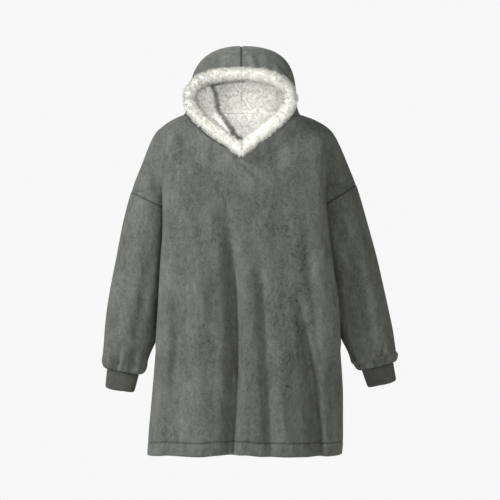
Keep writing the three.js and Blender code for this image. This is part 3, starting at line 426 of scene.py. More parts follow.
def quarter_points(side, facing, z):
    """Control points of the body's quarter section at each height: distance from the middle, and depth."""
    top, pit = ARMHOLE[side]
    towards = OUT[facing]
    middle, across, deep, y = arm_at(side, z)
    width = read(TORSO, side, z) - (BACK_NARROWER if facing == "back" else 0)
    depth = read(TORSO, facing, z)
    outline = read(OUTLINE, side, z)
    up = (z - pit) / (top - pit)
    seam = seam_angle(side, z)
    clear = ARMPIT_ROOM * smooth(ARMPIT_FROM, 0, up) + NEST * smooth(0, NEST_FULL, up)

    def on_arm(angle, gap):
        x = middle + (across + gap) * np.cos(np.radians(angle))
        x = np.where(up < 0, np.minimum(x, width), x)
        return np.stack([x, (deep + gap) * np.sin(np.radians(angle)) + towards * y], -1)

    within = np.clip((middle - width) / across, -1, 1)
    past = deep * np.sqrt(1 - within**2) + towards * y + clear + FOLD_ROOM
    edge_deep = np.maximum(past, QUARTER["beside_y"][EDGE_POINT] * depth)
    a = (width - middle) / (across + clear)
    b = (edge_deep - towards * y) / (deep + clear)
    touching = np.degrees(np.arctan2(b, a) + np.arccos(np.minimum(1 / np.hypot(a, b), 1)))
    valley = np.minimum(read(VALLEY, "angle", up), touching)
    beside = [
        on_arm(seam, np.where(up < -0.02, clear, 0)),
        on_arm((seam + valley) / 2, clear),
        on_arm(valley, clear),
        np.stack([width, edge_deep], -1),
    ]
    falls = smooth(*FALLS_FREE, z)[:, None]
    shoulders = smooth(*SHOULDERS, z)[:, None]
    points = []
    for k, share in enumerate(rows_of(QUARTER)):
        side_y = towards * y if k == 0 else 0 * y
        held = np.stack([share["beside_x"] * width, share["beside_y"] * depth], -1)
        free = np.stack([share["free_x"] * width, share["free_y"] * depth + side_y], -1)
        high = np.stack([share["shoulder_x"] * outline, share["shoulder_y"] * depth + side_y], -1)
        points.append(mix(mix(beside[k] if k < len(beside) else held, free, falls), high, shoulders))
    return np.stack(points, 1)


def folds_at(folds, x, z):
    """The sum of the standing folds at places on the body, outwards."""
    total = np.zeros_like(x)
    for fold in rows_of(folds):
        t = np.clip((z - fold["z0"]) / (fold["z1"] - fold["z0"]), 0, 1)
        middle = mix(fold["x0"], fold["x1"], t) + fold["bow"] * np.sin(np.pi * t)
        width = np.where(x < middle, fold["to_right"], fold["to_left"])
        total += fold["depth"] * smooth(0, FOLD_GROWS, t) * np.exp(-(((x - middle) / width) ** 2))
    return total


def creases_at(creases, x, z, fading=0.7):
    """The sum of the small creases, each a soft trough or ridge that fades at both ends."""
    total = np.zeros_like(x)
    for crease in rows_of(creases):
        dx, dz = crease["x1"] - crease["x0"], crease["z1"] - crease["z0"]
        length = math.hypot(dx, dz)
        t = ((x - crease["x0"]) * dx + (z - crease["z0"]) * dz) / length**2
        off = ((x - crease["x0"]) * dz - (z - crease["z0"]) * dx) / length
        fade = np.sin(np.pi * np.clip(t, 0, 1)) ** fading
        total += crease["depth"] * fade * np.exp(-((off / crease["width"]) ** 2))
    return total


def patches_at(node, x, z):
    """How much the plush is painted darker at places on one piece."""
    total = np.full(len(x), PATCH_ELSEWHERE)
    for patch in rows_of(PATCHES.get(node, {})):
        off = ((x - patch["x"]) / patch["wide"]) ** 2 + ((z - patch["z"]) / patch["tall"]) ** 2
        total += patch["amount"] * np.exp(-(off**1.5))
    return total


def body_point(side, facing, z, along):
    """Points of the body's outer surface at a height and a place along the quarter section."""
    at = curve_at(quarter_points(side, facing, z), along)
    x = SIGN[side] * at[:, 0]
    room = 1 - smooth(*FOLDS_FADE, np.abs(x) / read(TORSO, side, z))
    deep = at[:, 1] + room * (folds_at(FOLDS[facing], x, z) + creases_at(CREASES[facing], x, z))
    return np.stack([x, OUT[facing] * deep, z], -1)


def body_normal(side, facing, z, along):
    """Outward normals of the body's surface."""
    step = 0.05
    across = body_point(side, facing, z, along + step) - body_point(side, facing, z, along - step)
    down = body_point(side, facing, z - 1, along) - body_point(side, facing, z + 1, along)
    normal = unit(np.cross(across, down))
    return normal * np.where(np.sign(normal[:, 1:2]) == OUT[facing], 1, -1)


def along_at(side, facing, z, distance):
    """Where along the quarter section the body reaches a distance from the middle."""
    near = np.full(len(z), float(EDGE_POINT))
    far = np.full(len(z), MIDDLE + 1.0)
    for _ in range(24):
        mid = (near + far) / 2
        beyond = SIGN[side] * body_point(side, facing, z, mid)[:, 0] > distance
        near = np.where(beyond, mid, near)
        far = np.where(beyond, far, mid)
    return (near + far) / 2


class Cloth:
    """A sheet of cloth: grids of points of its outer surface, with the wall below each."""

    def __init__(self):
        self.points = np.zeros((0, 3))
        self.walls = np.zeros(0)
        self.given = np.zeros((0, 3))
        self.quads = np.zeros((0, 4), int)
        self.rounded = np.zeros(0)

    def add(self, grid, wall, rounded=0.0):
        """Adds a grid of points and returns their numbers. rounded is how far its cut edge bulges."""
        shape = grid.shape[:2]
        start = len(self.points)
        size = shape[0] * shape[1]
        self.points = np.vstack([self.points, grid.reshape(-1, 3)])
        self.walls = np.append(self.walls, np.broadcast_to(wall, shape).ravel())
        self.rounded = np.append(self.rounded, np.broadcast_to(rounded, shape).ravel())
        self.given = np.vstack([self.given, np.zeros((size, 3))])
        return np.arange(start, start + size).reshape(shape)

    def join(self, numbers, turned):
        corners = [numbers[:-1, :-1], numbers[:-1, 1:], numbers[1:, 1:], numbers[1:, :-1]]
        quads = np.stack([c.ravel() for c in corners], -1)
        self.quads = np.vstack([self.quads, quads[:, ::-1] if turned else quads])

    def merge(self, kept, dropped):
        """Puts one row of points in the place of another."""
        numbers = np.arange(len(self.points))
        numbers[dropped] = kept
        self.quads = numbers[self.quads]

    def normals(self):
        a, b, c, d = (self.points[self.quads[:, k]] for k in range(4))
        faces = np.cross(c - a, d - b)
        sums = np.zeros_like(self.points)
        for k in range(4):
            np.add.at(sums, self.quads[:, k], faces)
        chosen = np.linalg.norm(self.given, axis=1) > 0
        return np.where(chosen[:, None], self.given, unit(sums))

    def rims(self):
        """The cut edges as directed pairs of points, each with its face on the left."""
        pairs = np.concatenate([self.quads[:, [k, (k + 1) % 4]] for k in range(4)])
        size = len(self.points)
        keys = pairs[:, 0] * size + pairs[:, 1]
        backwards = pairs[:, 1] * size + pairs[:, 0]
        return pairs[~np.isin(keys, backwards)]

    def even(self, passes):
        """Evens out the normals, apart from those that are given, and keeps them."""
        fixed = np.linalg.norm(self.given, axis=1) > 0
        for _ in range(passes):
            normals = self.normals()
            sums = 2 * normals
            for k in range(4):
                np.add.at(sums, self.quads[:, k], normals[self.quads[:, (k + 1) % 4]])
                np.add.at(sums, self.quads[:, (k + 1) % 4], normals[self.quads[:, k]])
            self.given = np.where(fixed[:, None], self.given, unit(sums))

    def inner(self):
        """Points of its other side."""
        return self.points - self.normals() * self.walls[:, None]

    def beneath(self, gap, wall):
        """A second sheet below this one."""
        made = Cloth()
        made.given = self.normals()
        made.points = self.points - made.given * gap
        made.walls = np.full(len(self.points), wall)
        made.rounded = np.zeros(len(self.points))
        made.quads = self.quads
        return made

    def closed(self):
        """Points and faces of the closed sheet: outer points, inner points, then those on its cut edges."""
        normals = self.normals()
        size = len(self.points)
        inner = self.inner()
        rims = self.rims()
        edge = np.unique(rims)
        away = np.zeros_like(self.points)
        steps = unit(self.points[rims[:, 1]] - self.points[rims[:, 0]])
        for k in range(2):
            np.add.at(away, rims[:, k], np.cross(steps, normals[rims[:, k]]))
        bulge = unit(away[edge]) * (self.rounded * self.walls)[edge][:, None]
        between = (self.points[edge] + inner[edge]) / 2 + bulge
        number = np.zeros(size, int)
        number[edge] = 2 * size + np.arange(len(edge))
        a, b = rims.T
        faces = np.vstack([
            self.quads,
            size + self.quads[:, ::-1],
            np.stack([b, a, number[a], number[b]], -1),
            np.stack([number[b], number[a], size + a, size + b], -1),
        ])
        points = np.vstack([self.points, inner, between])
        return points, faces


def near_lines(points, lines):
    """Distance of each point from the nearest point of some lines."""
    tree = KDTree(len(lines))
    for k, point in enumerate(lines):
        tree.insert(point, k)
    tree.balance()
    return np.array([tree.find(point)[2] for point in points])


def dense(line, spacing=1.0):
    """A line of points with more points between them."""
    gaps = np.linalg.norm(np.diff(line, axis=0), axis=1)
    parts = [
        a + (b - a) * np.linspace(0, 1, max(2, int(gap / spacing)), endpoint=False)[:, None]
        for a, b, gap in zip(line[:-1], line[1:], gaps)
    ]
    return np.vstack(parts + [line[-1:]])


def object_from(name, points, faces, slot, replaced=(), attributes=None):
    """A smooth mesh from points in millimetres and groups of faces, riding on the part's only body."""
    used = np.unique(np.concatenate([group.ravel() for group in faces]))
    number = np.full(len(points), -1)
    number[used] = np.arange(len(used))
    mesh = bpy.data.meshes.new(name)
    corners = [face for group in faces for face in number[group].tolist()]
    mesh.from_pydata((points[used] * MM).tolist(), [], corners)
    mesh.materials.append(LOOKS[slot])
    for key, values in (attributes or {}).items():
        kept = mesh.attributes.new(key, "FLOAT", "POINT")
        kept.data.foreach_set("value", values[used].astype(np.float32))
    mesh.polygons.foreach_set("use_smooth", np.full(len(mesh.polygons), True))
    mesh.update()
    made = add_object(name, mesh)
    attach(made, "root")
    if replaced:
        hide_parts(*replaced)
    return made


def add_object(name, data):
    made = bpy.data.objects.new(name, data)
    bpy.context.scene.collection.objects.link(made)
    return made


def sheet_piece(name, cloth, slot, node, key, values):
    """A closed sheet. Its material reads the values on the outer side, or for fleece on the inner side."""
    points, faces = cloth.closed()
    inside = slot == "curly_fleece"
    doubled = np.concatenate([values * (not inside), values * inside])
    attributes = {key: np.append(doubled, np.zeros(len(points) - len(doubled)))}
    if slot == "plush":
        attributes["patch"] = patches_at(node, points[:, 0], points[:, 2])
    return object_from(name, points, [faces], slot, [node], attributes)


def sink_seams(cloth, seams, depth, reach):
    """Rolls the cloth in towards its seams, and returns how close each point is to one, from 0 to 1. The
    plush's material darkens by that, partly for the parted pile and partly as painted shade in the grooves.
    """
    lines = np.vstack([dense(line) for line in seams if len(line)])
    off = near_lines(cloth.points, lines)
    close = np.clip(1 - off / reach, 0, 1) ** 2
    cloth.points = cloth.points - cloth.normals() * (depth * close)[:, None]
    return close


def row_heights(facing):
    """Heights of the fine rows at the right side, the left side and the middle, from the hem to the neck."""
    rows = [(float(z),) * 3 for z in HEM_ROWS]
    coarse = [(float(z),) * 3 for z in LOWER_ROWS]
    pits = [ARMHOLE[side][1] for side in ("right", "left")]
    coarse.append((*(pit - ARMPIT_ROW["below"] for pit in pits), ARMPIT_ROW["middle"]))
    coarse.append((*pits, ARMHOLE_MIDDLE[0]))
    add_between(rows, coarse)
    corners = np.arange(len(ARMHOLE_ANGLES))
    fine = np.linspace(0, corners[-1], ARMHOLE_FINE * corners[-1] + 1)[1:]
    angles = np.interp(fine, corners, ARMHOLE_ANGLES)
    middles = mix(ARMHOLE_MIDDLE[0], ARMHOLE_MIDDLE[1], fine / corners[-1])
    rows += list(zip(seam_height("right", angles), seam_height("left", angles), middles))
    add_between(rows, list(zip(UPPER_ROWS["z"], UPPER_ROWS["z"], UPPER_ROWS[facing])))
    return np.array(rows)


def add_between(rows, coarse):
    """Appends coarse rows, with fine rows between them."""
    for row in coarse:
        last = np.array(rows[-1])
        gap = np.abs(np.array(row) - last).max()
        count = max(1, int(math.ceil(gap / ROW_SPACING)))
        rows += [tuple(mix(last, np.array(row), k / count)) for k in range(1, count + 1)]


def column_places():
    """Places along the quarter section: close together at the side's seam, then even to the middle."""
    side = SIDE_END * np.linspace(0, 1, SIDE_COLUMNS + 1) ** SIDE_POWER
    middle = np.linspace(SIDE_END, MIDDLE, MIDDLE_COLUMNS + 1)[1:]
    return np.append(side, middle)


def arm_normal(side, facing, angle, z):
    _, across, deep, _ = arm_at(side, z)
    lean = (read(OUTLINE, side, z + 2) - read(OUTLINE, side, z - 2)) / 4
    turn = np.radians(angle)
    level_x = SIGN[side] * np.cos(turn) / across
    level_y = OUT[facing] * np.abs(np.sin(turn)) / deep
    level = unit(np.stack([level_x, level_y, 0 * level_x], -1))
    level[:, 2] = -lean * np.cos(turn)
    return unit(level)


def edge_normal(side, facing, z):
    """Outward normal at the edge of a body panel."""
    above = quarter_points(side, facing, z + 2)[:, 0, 0]
    below = quarter_points(side, facing, z - 2)[:, 0, 0]
    plain = np.stack([np.full(len(z), SIGN[side]), 0 * z, -(above - below) / 4], -1)
    on_arm = arm_normal(side, facing, seam_angle(side, z), z)
    return np.where((z > ARMHOLE[side][1])[:, None], on_arm, unit(plain))


def panel_half(side, facing, rows):
    """Grid of the outer surface of half a body panel, with its edge normals."""
    front = facing == "front"
    sides, middles = rows[:, 0 if side == "right" else 1], rows[:, 2]
    v_top, v_low = UPPER_ROWS["front"][-1], UPPER_ROWS["front"][V_ROW]
    neck = (middles >= v_low - 1e-6) & (middles <= v_top + 1e-6) & front
    middle_x = SIGN[side] * V_X * smooth(HEM_Z, NECKLINE["z"][0], middles) if front else 0 * middles
    reach = np.where(neck, read(NECKLINE, side, middles), middle_x)
    ends = along_at(side, facing, middles, reach)
    along = column_places()
    share = np.broadcast_to(smooth(TURN, MIDDLE, along), (len(rows), len(along)))
    z = mix(sides[:, None], middles[:, None], share)
    place = along[None, :] * ends[:, None] / MIDDLE
    grid = body_point(side, facing, z.ravel(), place.ravel()).reshape(z.shape + (3,))
    low = smooth(*DIP_FROM, sides)[:, None]
    grid[:, :, 2] -= low * read(HEM_DIP, facing, grid[:, :, 0])
    pull = STITCH["draw"] * np.exp(-(((sides - STITCH_Z) / STITCH["reach"]) ** 2))
    away = smooth(0, 2, along)[None, :]
    grid[:, :, 1] -= OUT[facing] * pull[:, None] * away
    grid[:, :, 0] -= SIGN[side] * STITCH["sideways"] * pull[:, None] * (1 - away)
    top, pit = ARMHOLE[side]
    on_armhole = (sides <= top + 0.01) & (sides >= pit - 0.01)
    on_sleeve = (sides < top - 0.01) & (sides > pit + 0.01)
    grid[:, 0, 1] += np.where(on_sleeve, 0, OUT[facing] * SEAM / 2)
    grid[:, 0, 2] += np.where(on_armhole, SEAM / 2, 0)
    return grid, neck, edge_normal(side, facing, sides), body_normal(side, facing, z[:, -1], place[:, -1])


def body_panel(facing):
    """One body panel: two halves that share their middle, up to the V of the neck in front."""
    cloth = Cloth()
    seams = []
    last = []
    rows = row_heights(facing)
    walls = PLUSH + (HEM_WALL - PLUSH) * smooth(STITCH_Z + 6, STITCH_Z - 2, rows[:, :1])
    rounded = np.where(rows[:, :1] < HEM_Z + 0.1, BULGE["hem"], 0.0)
    for side in ("right", "left"):
        grid, neck, at_edge, at_neck = panel_half(side, facing, rows)
        numbers = cloth.add(grid, walls, rounded)
        cloth.given[numbers[:, 0]] = at_edge
        cloth.given[numbers[neck, -1]] = at_neck[neck]
        last.append(numbers[:, -1])
        seams += [grid[:, 0], grid[-1], grid[neck, -1]]
        cloth.join(numbers, (side == "right") == (facing == "back"))
    shared = np.nonzero(~neck)[0]
    shared = np.append(shared, shared[-1] + 1) if neck.any() else shared
    cloth.merge(last[0][shared], last[1][shared])
    close = sink_seams(cloth, seams, *SINK["body"])
    heights = np.tile(np.repeat(rows[:, 0], numbers.shape[1]), 2)
    # Darkness for the material along the seams and the hem's stitching: partly the pile parting there, partly
    # painted shade.
    stitched = np.exp(-(((heights - STITCH_Z) / STITCH["dark_reach"]) ** 2))
    return cloth, np.maximum(close, STITCH["dark"] * stitched)


def fold_share(angle, held):
    """Share of a sleeve's fold at angles round the arm, 1 on its own angle."""
    off = np.abs((angle - held["angle"] + 540) % 360 - 180)
    return np.exp(-((off / held["spread"]) ** 2))


def sleeve_point(side, z, angle):
    """Points of the sleeve's outer surface, with its folds, pleats and creases."""
    middle, across, deep, y = arm_at(side, z)
    swell = creases_at(SLEEVE_CREASES[side], ROUND_THE_ARM * (angle % 360), z, 1)
    for fold in rows_of(SLEEVE_FOLDS[side]):
        from_top = smooth(fold["top"], fold["top"] - SLEEVE_FOLD_GROWS["down"], z)
        from_bottom = smooth(fold["bottom"], fold["bottom"] + SLEEVE_FOLD_GROWS["up"], z)
        swell += fold["depth"] * from_top * from_bottom * fold_share(angle, fold)
    drawn = smooth(GATHERS["top"], GATHERS["full"], z)
    swell += drawn * gather_at(angle) + pleats_at(side, z, angle)
    turn = np.radians(angle)
    x = SIGN[side] * (middle + (across + swell) * np.cos(turn))
    return np.stack([x, y - (deep + swell) * np.sin(turn), z], -1)


def gather_at(angle):
    """Height of the sleeve's gathers at angles round the arm."""
    return GATHERS["height"] * np.cos(np.radians(angle * GATHERS["count"] + GATHERS["turn"]))


def pleats_at(side, z, angle):
    """Depth of the pleats that the cuff draws in, growing towards it."""
    total = np.zeros_like(z)
    for pleat in rows_of(PLEATS[side]):
        total += pleat["depth"] * smooth(pleat["top"], PLEATS_FULL, z) * fold_share(angle, pleat)
    return total


def cuff_point(side, down, angle, grow=0.0):
    """Points of the cuff's outer surface: down runs from 0 at its seam to 1 at its edge."""
    held = CUFFS[side]
    lean = math.radians(held["lean"])
    width = mix(CUFF["half_width"], CUFF["hem_width"], down) + grow
    depth = mix(CUFF["half_depth"], CUFF["hem_depth"], down) + grow
    across = width * np.cos(np.radians(angle))
    fall = held["drop"] * down
    x = held["x"] + SIGN[side] * (across * math.cos(lean) + fall * math.sin(lean))
    y = CUFF["y"] - depth * np.sin(np.radians(angle)) - CUFF["forward"] * down
    z = held["z"] + across * math.sin(lean) - fall * math.cos(lean)
    return np.stack([x, y, z], -1)


def cuff_normal(side, angle):
    lean = math.radians(CUFFS[side]["lean"])
    across = np.cos(np.radians(angle)) / CUFF["half_width"]
    deep = -np.sin(np.radians(angle)) / CUFF["half_depth"]
    return unit(np.stack([SIGN[side] * across * math.cos(lean), deep, across * math.sin(lean)], -1))


def sleeve(side):
    """One sleeve, from the slanted armhole seam down to the cuff."""
    angles = 180 + 360 * np.arange(SLEEVE_ROUND + 1) / SLEEVE_ROUND
    tilt_low = math.tan(math.radians(CUFFS[side]["lean"]))
    levels = [seam_height(side, angles), seam_height(side, angles) - BELOW_SEAM]
    for level in SLEEVE_LEVELS:
        tilt = mix(SEAM_TILT, tilt_low, smooth(SLEEVE_LEVELS[0], SLEEVE_LEVELS[-1], level))
        levels.append(level + tilt * read(ARM, "across", level) * np.cos(np.radians(angles)))
    levels[0] = levels[0] - SEAM / 2
    heights = [mix(levels[0], levels[1], share) for share in BELOW_SEAM_SHARES]
    for above, below in zip(levels[1:-1], levels[2:]):
        count = max(1, int(math.ceil(np.abs(above - below).mean() / ROW_SPACING)))
        heights += [mix(above, below, k / count) for k in range(count)]
    heights.append(levels[-1])
    body = np.stack([sleeve_point(side, height, angles) for height in heights])
    pleats = PLEATS_TURNED * pleats_at(side, np.full(len(angles), PLEATS_FULL), angles)
    ends = []
    for end in rows_of(SLEEVE_ENDS):
        ripple = min(1, end["grow"] / GATHERS["overhang"]) * (gather_at(angles) + pleats)
        ends.append(cuff_point(side, end["down"], angles, end["grow"] + ripple))
    knots = np.stack([body[-END_ROWS["before"]], body[-1], *ends], 1)
    last = knots.shape[1] - 1
    bend = np.linspace(1, last - 1, END_ROWS["bend"] + 1)
    fine = np.append(bend[1:], np.linspace(last - 1, last, END_ROWS["last"] + 1)[1:])
    tail = np.stack([curve_at(knots, np.full(len(angles), place)) for place in fine])
    grid = np.concatenate([body, tail])
    grid[:, 0, 1] += SEAM / 2
    grid[:, -1, 1] -= SEAM / 2
    cloth = Cloth()
    numbers = cloth.add(grid, PLUSH)
    ahead, behind = (arm_normal(side, facing, angles, levels[0]) for facing in ("front", "back"))
    cloth.given[numbers[0]] = np.where((angles > 360)[:, None], ahead, behind)
    cloth.given[numbers[-1]] = cuff_normal(side, angles)
    cloth.join(numbers, side == "right")
    return cloth, sink_seams(cloth, [grid[0]], *SINK["sleeve"])


def cuff(side):
    """One rib-knit cuff, its ribs raised on the outside and its edge folded under."""
    columns = RIBS["count"] * RIBS["columns"]
    angles = 360 * np.arange(columns) / columns
    wave = 0.5 + 0.5 * np.cos(np.radians(angles * RIBS["count"]))
    grid = []
    for down in np.linspace(0, 1, RIBS["rows"] + 1):
        softer = mix(1, CUFF_EDGE["least_rib"], smooth(CUFF_EDGE["softer_from"], 1, down))
        lift = RIBS["height"] * wave ** RIBS["power"] * softer
        lift -= CUFF_EDGE["turned_in"] * smooth(CUFF_EDGE["turned_from"], 1, down)
        point = cuff_point(side, down, angles) + cuff_normal(side, angles) * lift[:, None]
        sag = CUFF_SAG["height"] * down * smooth(CUFF_SAG["from"], 1, down)
        point[:, 2] += sag * np.cos(np.radians(2 * angles + CUFF_SAG["angle"]))
        grid.append(point)
    cloth = Cloth()
    numbers = cloth.add(np.stack(grid), KNIT, BULGE["cuff"])
    cloth.given[numbers] = cuff_normal(side, angles)[None]
    cloth.rounded[numbers[0]] = 0
    cloth.join(np.hstack([numbers, numbers[:, :1]]), side == "right")
    # The second value is where the material paints shade between the ribs.
    return cloth, np.broadcast_to(1 - wave, numbers.shape).ravel()


def level_normal(side, point):
    """Level normals of the neck behind the shoulders."""
    width, depth = (read(TORSO, key, np.zeros(1)) for key in (side, "back"))
    return unit(np.stack([point[:, 0] / width**2, point[:, 1] / depth**2, 0 * point[:, 0]], -1))


def neck_seam(side):
    """The seam between hood and body, as points and normals for each step and fine step of the hood."""
    ends = UPPER_ROWS["front"][V_ROW:]
    steps = np.arange(len(ends))
    z = np.interp(np.arange(steps[-1] * STEP_FINE + 1) / STEP_FINE, steps, ends)
    along = along_at(side, "front", z, read(NECKLINE, side, z))
    points = [body_point(side, "front", z, along)]
    normals = [body_normal(side, "front", z, along)]
    top = UPPER_ROWS["z"][-1]
    back_share = 1 - np.arange(1, STEP_FINE + 1) / STEP_FINE
    here = back_share * MIDDLE
    z = mix(top, ends[-1], smooth(TURN, MIDDLE, here))
    points.append(body_point(side, "front", z, here * along[-1] / MIDDLE))
    ridge = edge_normal(side, "front", np.full(1, top))
    normals.append(unit(mix(ridge, normals[0][-1:], back_share[:, None])))
    corner = along_at(side, "back", np.zeros(1), NECK_CORNER * read(TORSO, side, np.zeros(1)))[0]
    round_count = (CORNER_STEP - SHOULDER_STEP) * STEP_FINE
    across_count = (LOWER_POINTS + ARCH_POINTS) * POINT_FINE
    along = np.append(
        corner * np.arange(1, round_count + 1) / round_count,
        mix(corner, MIDDLE, np.arange(1, across_count + 1) / across_count),
    )
    z = mix(top, BACK_NECK_RISE, smooth(TURN, MIDDLE, along))
    points.append(body_point(side, "back", z, along))
    normals.append(level_normal(side, points[-1]))
    points, normals = np.vstack(points), np.vstack(normals)
    away = unit(np.cross(np.gradient(points, axis=0), normals))
    away[0] = (0, 0, 1)
    away[SHOULDER_STEP * STEP_FINE:] = (0, 0, 1)
    away = away * np.where(away[:, 2:] < 0, -1, 1)
    return points + HOOD_GAP * away, normals


def bezier(start, leaving, reaching, end, t):
    """A curve whose inner control points are shares of the way from start to end, on each axis."""
    t = t[:, None]
    b, c = (mix(start, end, np.array(shares)) for shares in (leaving, reaching))
    return (1 - t) ** 3 * start + 3 * t * (1 - t) ** 2 * b + 3 * t * t * (1 - t) * c + t**3 * end


def hoop_places():
    """Places round half a hoop, from the neck seam to the centre seam, close together at the centre seam."""
    total = LOWER_POINTS + ARCH_POINTS
    even = np.linspace(0, total, total * POINT_FINE + 1)
    return np.sort(np.append(even, total - np.array(NEAR_SEAM)))


def half_hoop(side, hoop, seam, places):
    """Half a hoop: up from the neck seam to its widest point, then over in an arch to the centre seam."""
    before = seam[int(math.floor(hoop["step"])) * STEP_FINE]
    after = seam[int(math.ceil(hoop["step"])) * STEP_FINE]
    start = mix(before, after, hoop["step"] % 1)
    wide = np.array([SIGN[side] * hoop[side], hoop["side_y"], hoop["side_z"]])
    top = np.array([V_X, hoop["top_y"], hoop["top_z"]])
    early, y1, z1, y2, z2 = LOWER_SHAPE
    early = RIM_EARLY[side] if hoop["step"] == 0 else early
    arch = hoop["arch_" + side]
    low = bezier(start, (early, y1, z1), (1, y2, z2), wide, np.clip(places / LOWER_POINTS, 0, 1))
    over_share = np.clip((places - LOWER_POINTS) / ARCH_POINTS, 0, 1)
    over = bezier(wide, (0, arch, arch), (1 - arch, 1, 1), top, over_share)
    return np.where((places < LOWER_POINTS)[:, None], low, over)


def lobe_share(steps, places):
    """How far the lining goes towards the edge of its loose fold, for each step and place on the hood."""
    middle, spread = (read(LOBE_MIDDLE, key, places) for key in ("step", "spread"))
    ends = LOBE_ENDS
    share = smooth(ends["start"], ends["full"], places) * smooth(ends["end"], ends["fading"], places)
    return np.exp(-(((steps[:, None] - middle) / spread) ** 2)) * share


def hood_half(side):
    """One half of the hood's shell, from the rim to the back of the neck."""
    seam, seam_normals = neck_seam(side)
    places = hoop_places()
    last_start = CORNER_STEP * STEP_FINE
    seam_places = np.arange(len(seam) - last_start) / POINT_FINE
    last, last_normals = (
        np.stack([np.interp(places, seam_places, line[last_start:, k]) for k in range(3)], -1)
        for line in (seam, seam_normals)
    )
    hoops = np.stack([half_hoop(side, hoop, seam, places) for hoop in rows_of(HOOPS)] + [last], 1)
    knots = np.append(HOOPS["step"], CORNER_STEP)
    along = table("step place", *zip(knots, np.arange(len(knots))))
    steps = np.arange(CORNER_STEP * STEP_FINE + 1) / STEP_FINE
    grid = np.stack([
        curve_at(hoops, np.full(len(places), read(along, "place", step))) for step in steps
    ])
    grid[:, 0] = seam[: len(steps)]
    grid[-1] = last
    grid[:, -1, 0] += SIGN[side] * SEAM / 2
    cloth = Cloth()
    numbers = cloth.add(grid, PLUSH)
    cloth.join(numbers, side == "left")
    across, back = np.meshgrid(PLACE_LENGTH * places, STEP_LENGTH * steps)
    lift = creases_at(HOOD_CREASES[side], across, back)
    lift[:, 0] = 0
    cloth.points = cloth.points + cloth.normals() * lift.ravel()[:, None]
    cloth.given[numbers[:, 0]] = seam_normals[: len(steps)]
    cloth.given[numbers[-1]] = unit(last_normals)
    cloth.even(3)
    ridge = cloth.given[numbers[:-1, -1]]
    ridge[:, 0] = 0
    cloth.given[numbers[:-1, -1]] = unit(ridge)
    rim = cloth.given[numbers[0, 1:]]
    rim[:, 1] = np.minimum(rim[:, 1], 0)
    cloth.given[numbers[0, 1:]] = unit(rim)
    lining = cloth.beneath(PLUSH + HOOD_LINING_GAP, BACKING)
    if side == "right":
        share = lobe_share(steps, places).ravel()
        x = lining.points[:, 0]
        towards = np.maximum(read(LOBE, "x", lining.points[:, 2]) - x, 0)
        lining.points[:, 0] = x + share * towards
        lining.given = np.zeros_like(lining.points)
        lining.given = lining.normals()
    return cloth, sink_seams(cloth, [grid[:, -1]], *SINK["hood"]), lining


def roll_path(side):
    """Line of the roll round half the hood's opening: the rim, moved forward."""
    seam, _ = neck_seam(side)
    rim = half_hoop(side, rows_of(HOOPS)[0], seam, np.linspace(0, LOWER_POINTS + ARCH_POINTS, 13))
    share = np.linspace(0, len(rim) - 1, ROLL["steps"] + 1)
    knots = np.broadcast_to(rim, (len(share),) + rim.shape)
    line = curve_at(knots, share)
    ahead = curve_at(knots, np.minimum(share + 0.01, len(rim) - 1))
    behind = curve_at(knots, np.maximum(share - 0.01, 0))
    return line, unit(ahead - behind)


def lumps(points, size, seed):
    """Height of closely packed round lumps in a jittered lattice, from 0 between them to 1 on top."""
    jitter = np.random.default_rng(seed).random((4096, 3))
    keys = (73856093, 19349663, 83492791)  # spread the lattice's cells over the table of jitters
    reach = 0.95  # of a lump, in cells
    scaled = points / size
    cell = np.floor(scaled).astype(np.int64)
    nearest = np.full(len(points), 9.0)
    for offset in itertools.product((-1, 0, 1), repeat=3):
        at = cell + offset
        key = np.bitwise_xor.reduce(at * keys, axis=1)
        centre = at + jitter[np.abs(key) % len(jitter)]
        nearest = np.minimum(nearest, np.linalg.norm(scaled - centre, axis=1))
    return np.sqrt(np.clip(1 - (nearest / reach) ** 2, 0, 1))


def roll_half(side):
    """Half of the roll round the hood's opening: points, faces, normals and lumps of its body."""
    line, tangent = roll_path(side)
    out = unit(np.stack([tangent[:, 2], 0 * tangent[:, 0], -tangent[:, 0]], -1))
    outwards = line - np.array([V_X, 0, 0])
    outwards[:, 1] = 0
    out[(out * outwards).sum(1) < 0] *= -1
    out[0] = (0, 0, -1)
    out[-1] = (0, 0, 1)
    turn = 2 * np.pi * np.arange(ROLL["sides"]) / ROLL["sides"]
    radial = (ROLL["half_width"] - ROLL_PILE) * np.cos(turn) - ROLL["inset"]
    grid = line[:, None, :] + out[:, None, :] * radial[None, :, None]
    grid[:, :, 1] += (ROLL["half_depth"] - ROLL_PILE) * np.sin(turn) - ROLL["half_depth"] - ROLL_GAP
    cloth = Cloth()
    numbers = cloth.add(grid, 0)
    cloth.join(np.hstack([numbers, numbers[:, :1]]), side == "right")
    normals = cloth.normals()
    kind = ROLL_LUMPS
    clump = lumps(cloth.points, kind["size"], 11)
    broad = lumps(cloth.points, kind["broad_size"], 12) - kind["broad_mean"]
    height = kind["rise"] * clump + kind["broad_rise"] * broad - kind["down"]
    points = cloth.points + normals * height[:, None]
    sign = SIGN[side]
    middle = V_X + sign * SEAM / 2
    points[:, 0] = sign * np.maximum(sign * points[:, 0], sign * middle)
    ends = []
    for row, turned in ((numbers[0], side == "left"), (numbers[-1], side == "right")):
        points[row, 0] = middle
        pair = (np.roll(row, -1), row) if turned else (row, np.roll(row, -1))
        ends.append(np.stack([*pair, np.full(len(row), len(points))], -1))
        points = np.vstack([points, points[row].mean(0)])
    return points, [cloth.quads, np.vstack(ends)], normals, np.append(clump, [0, 0])


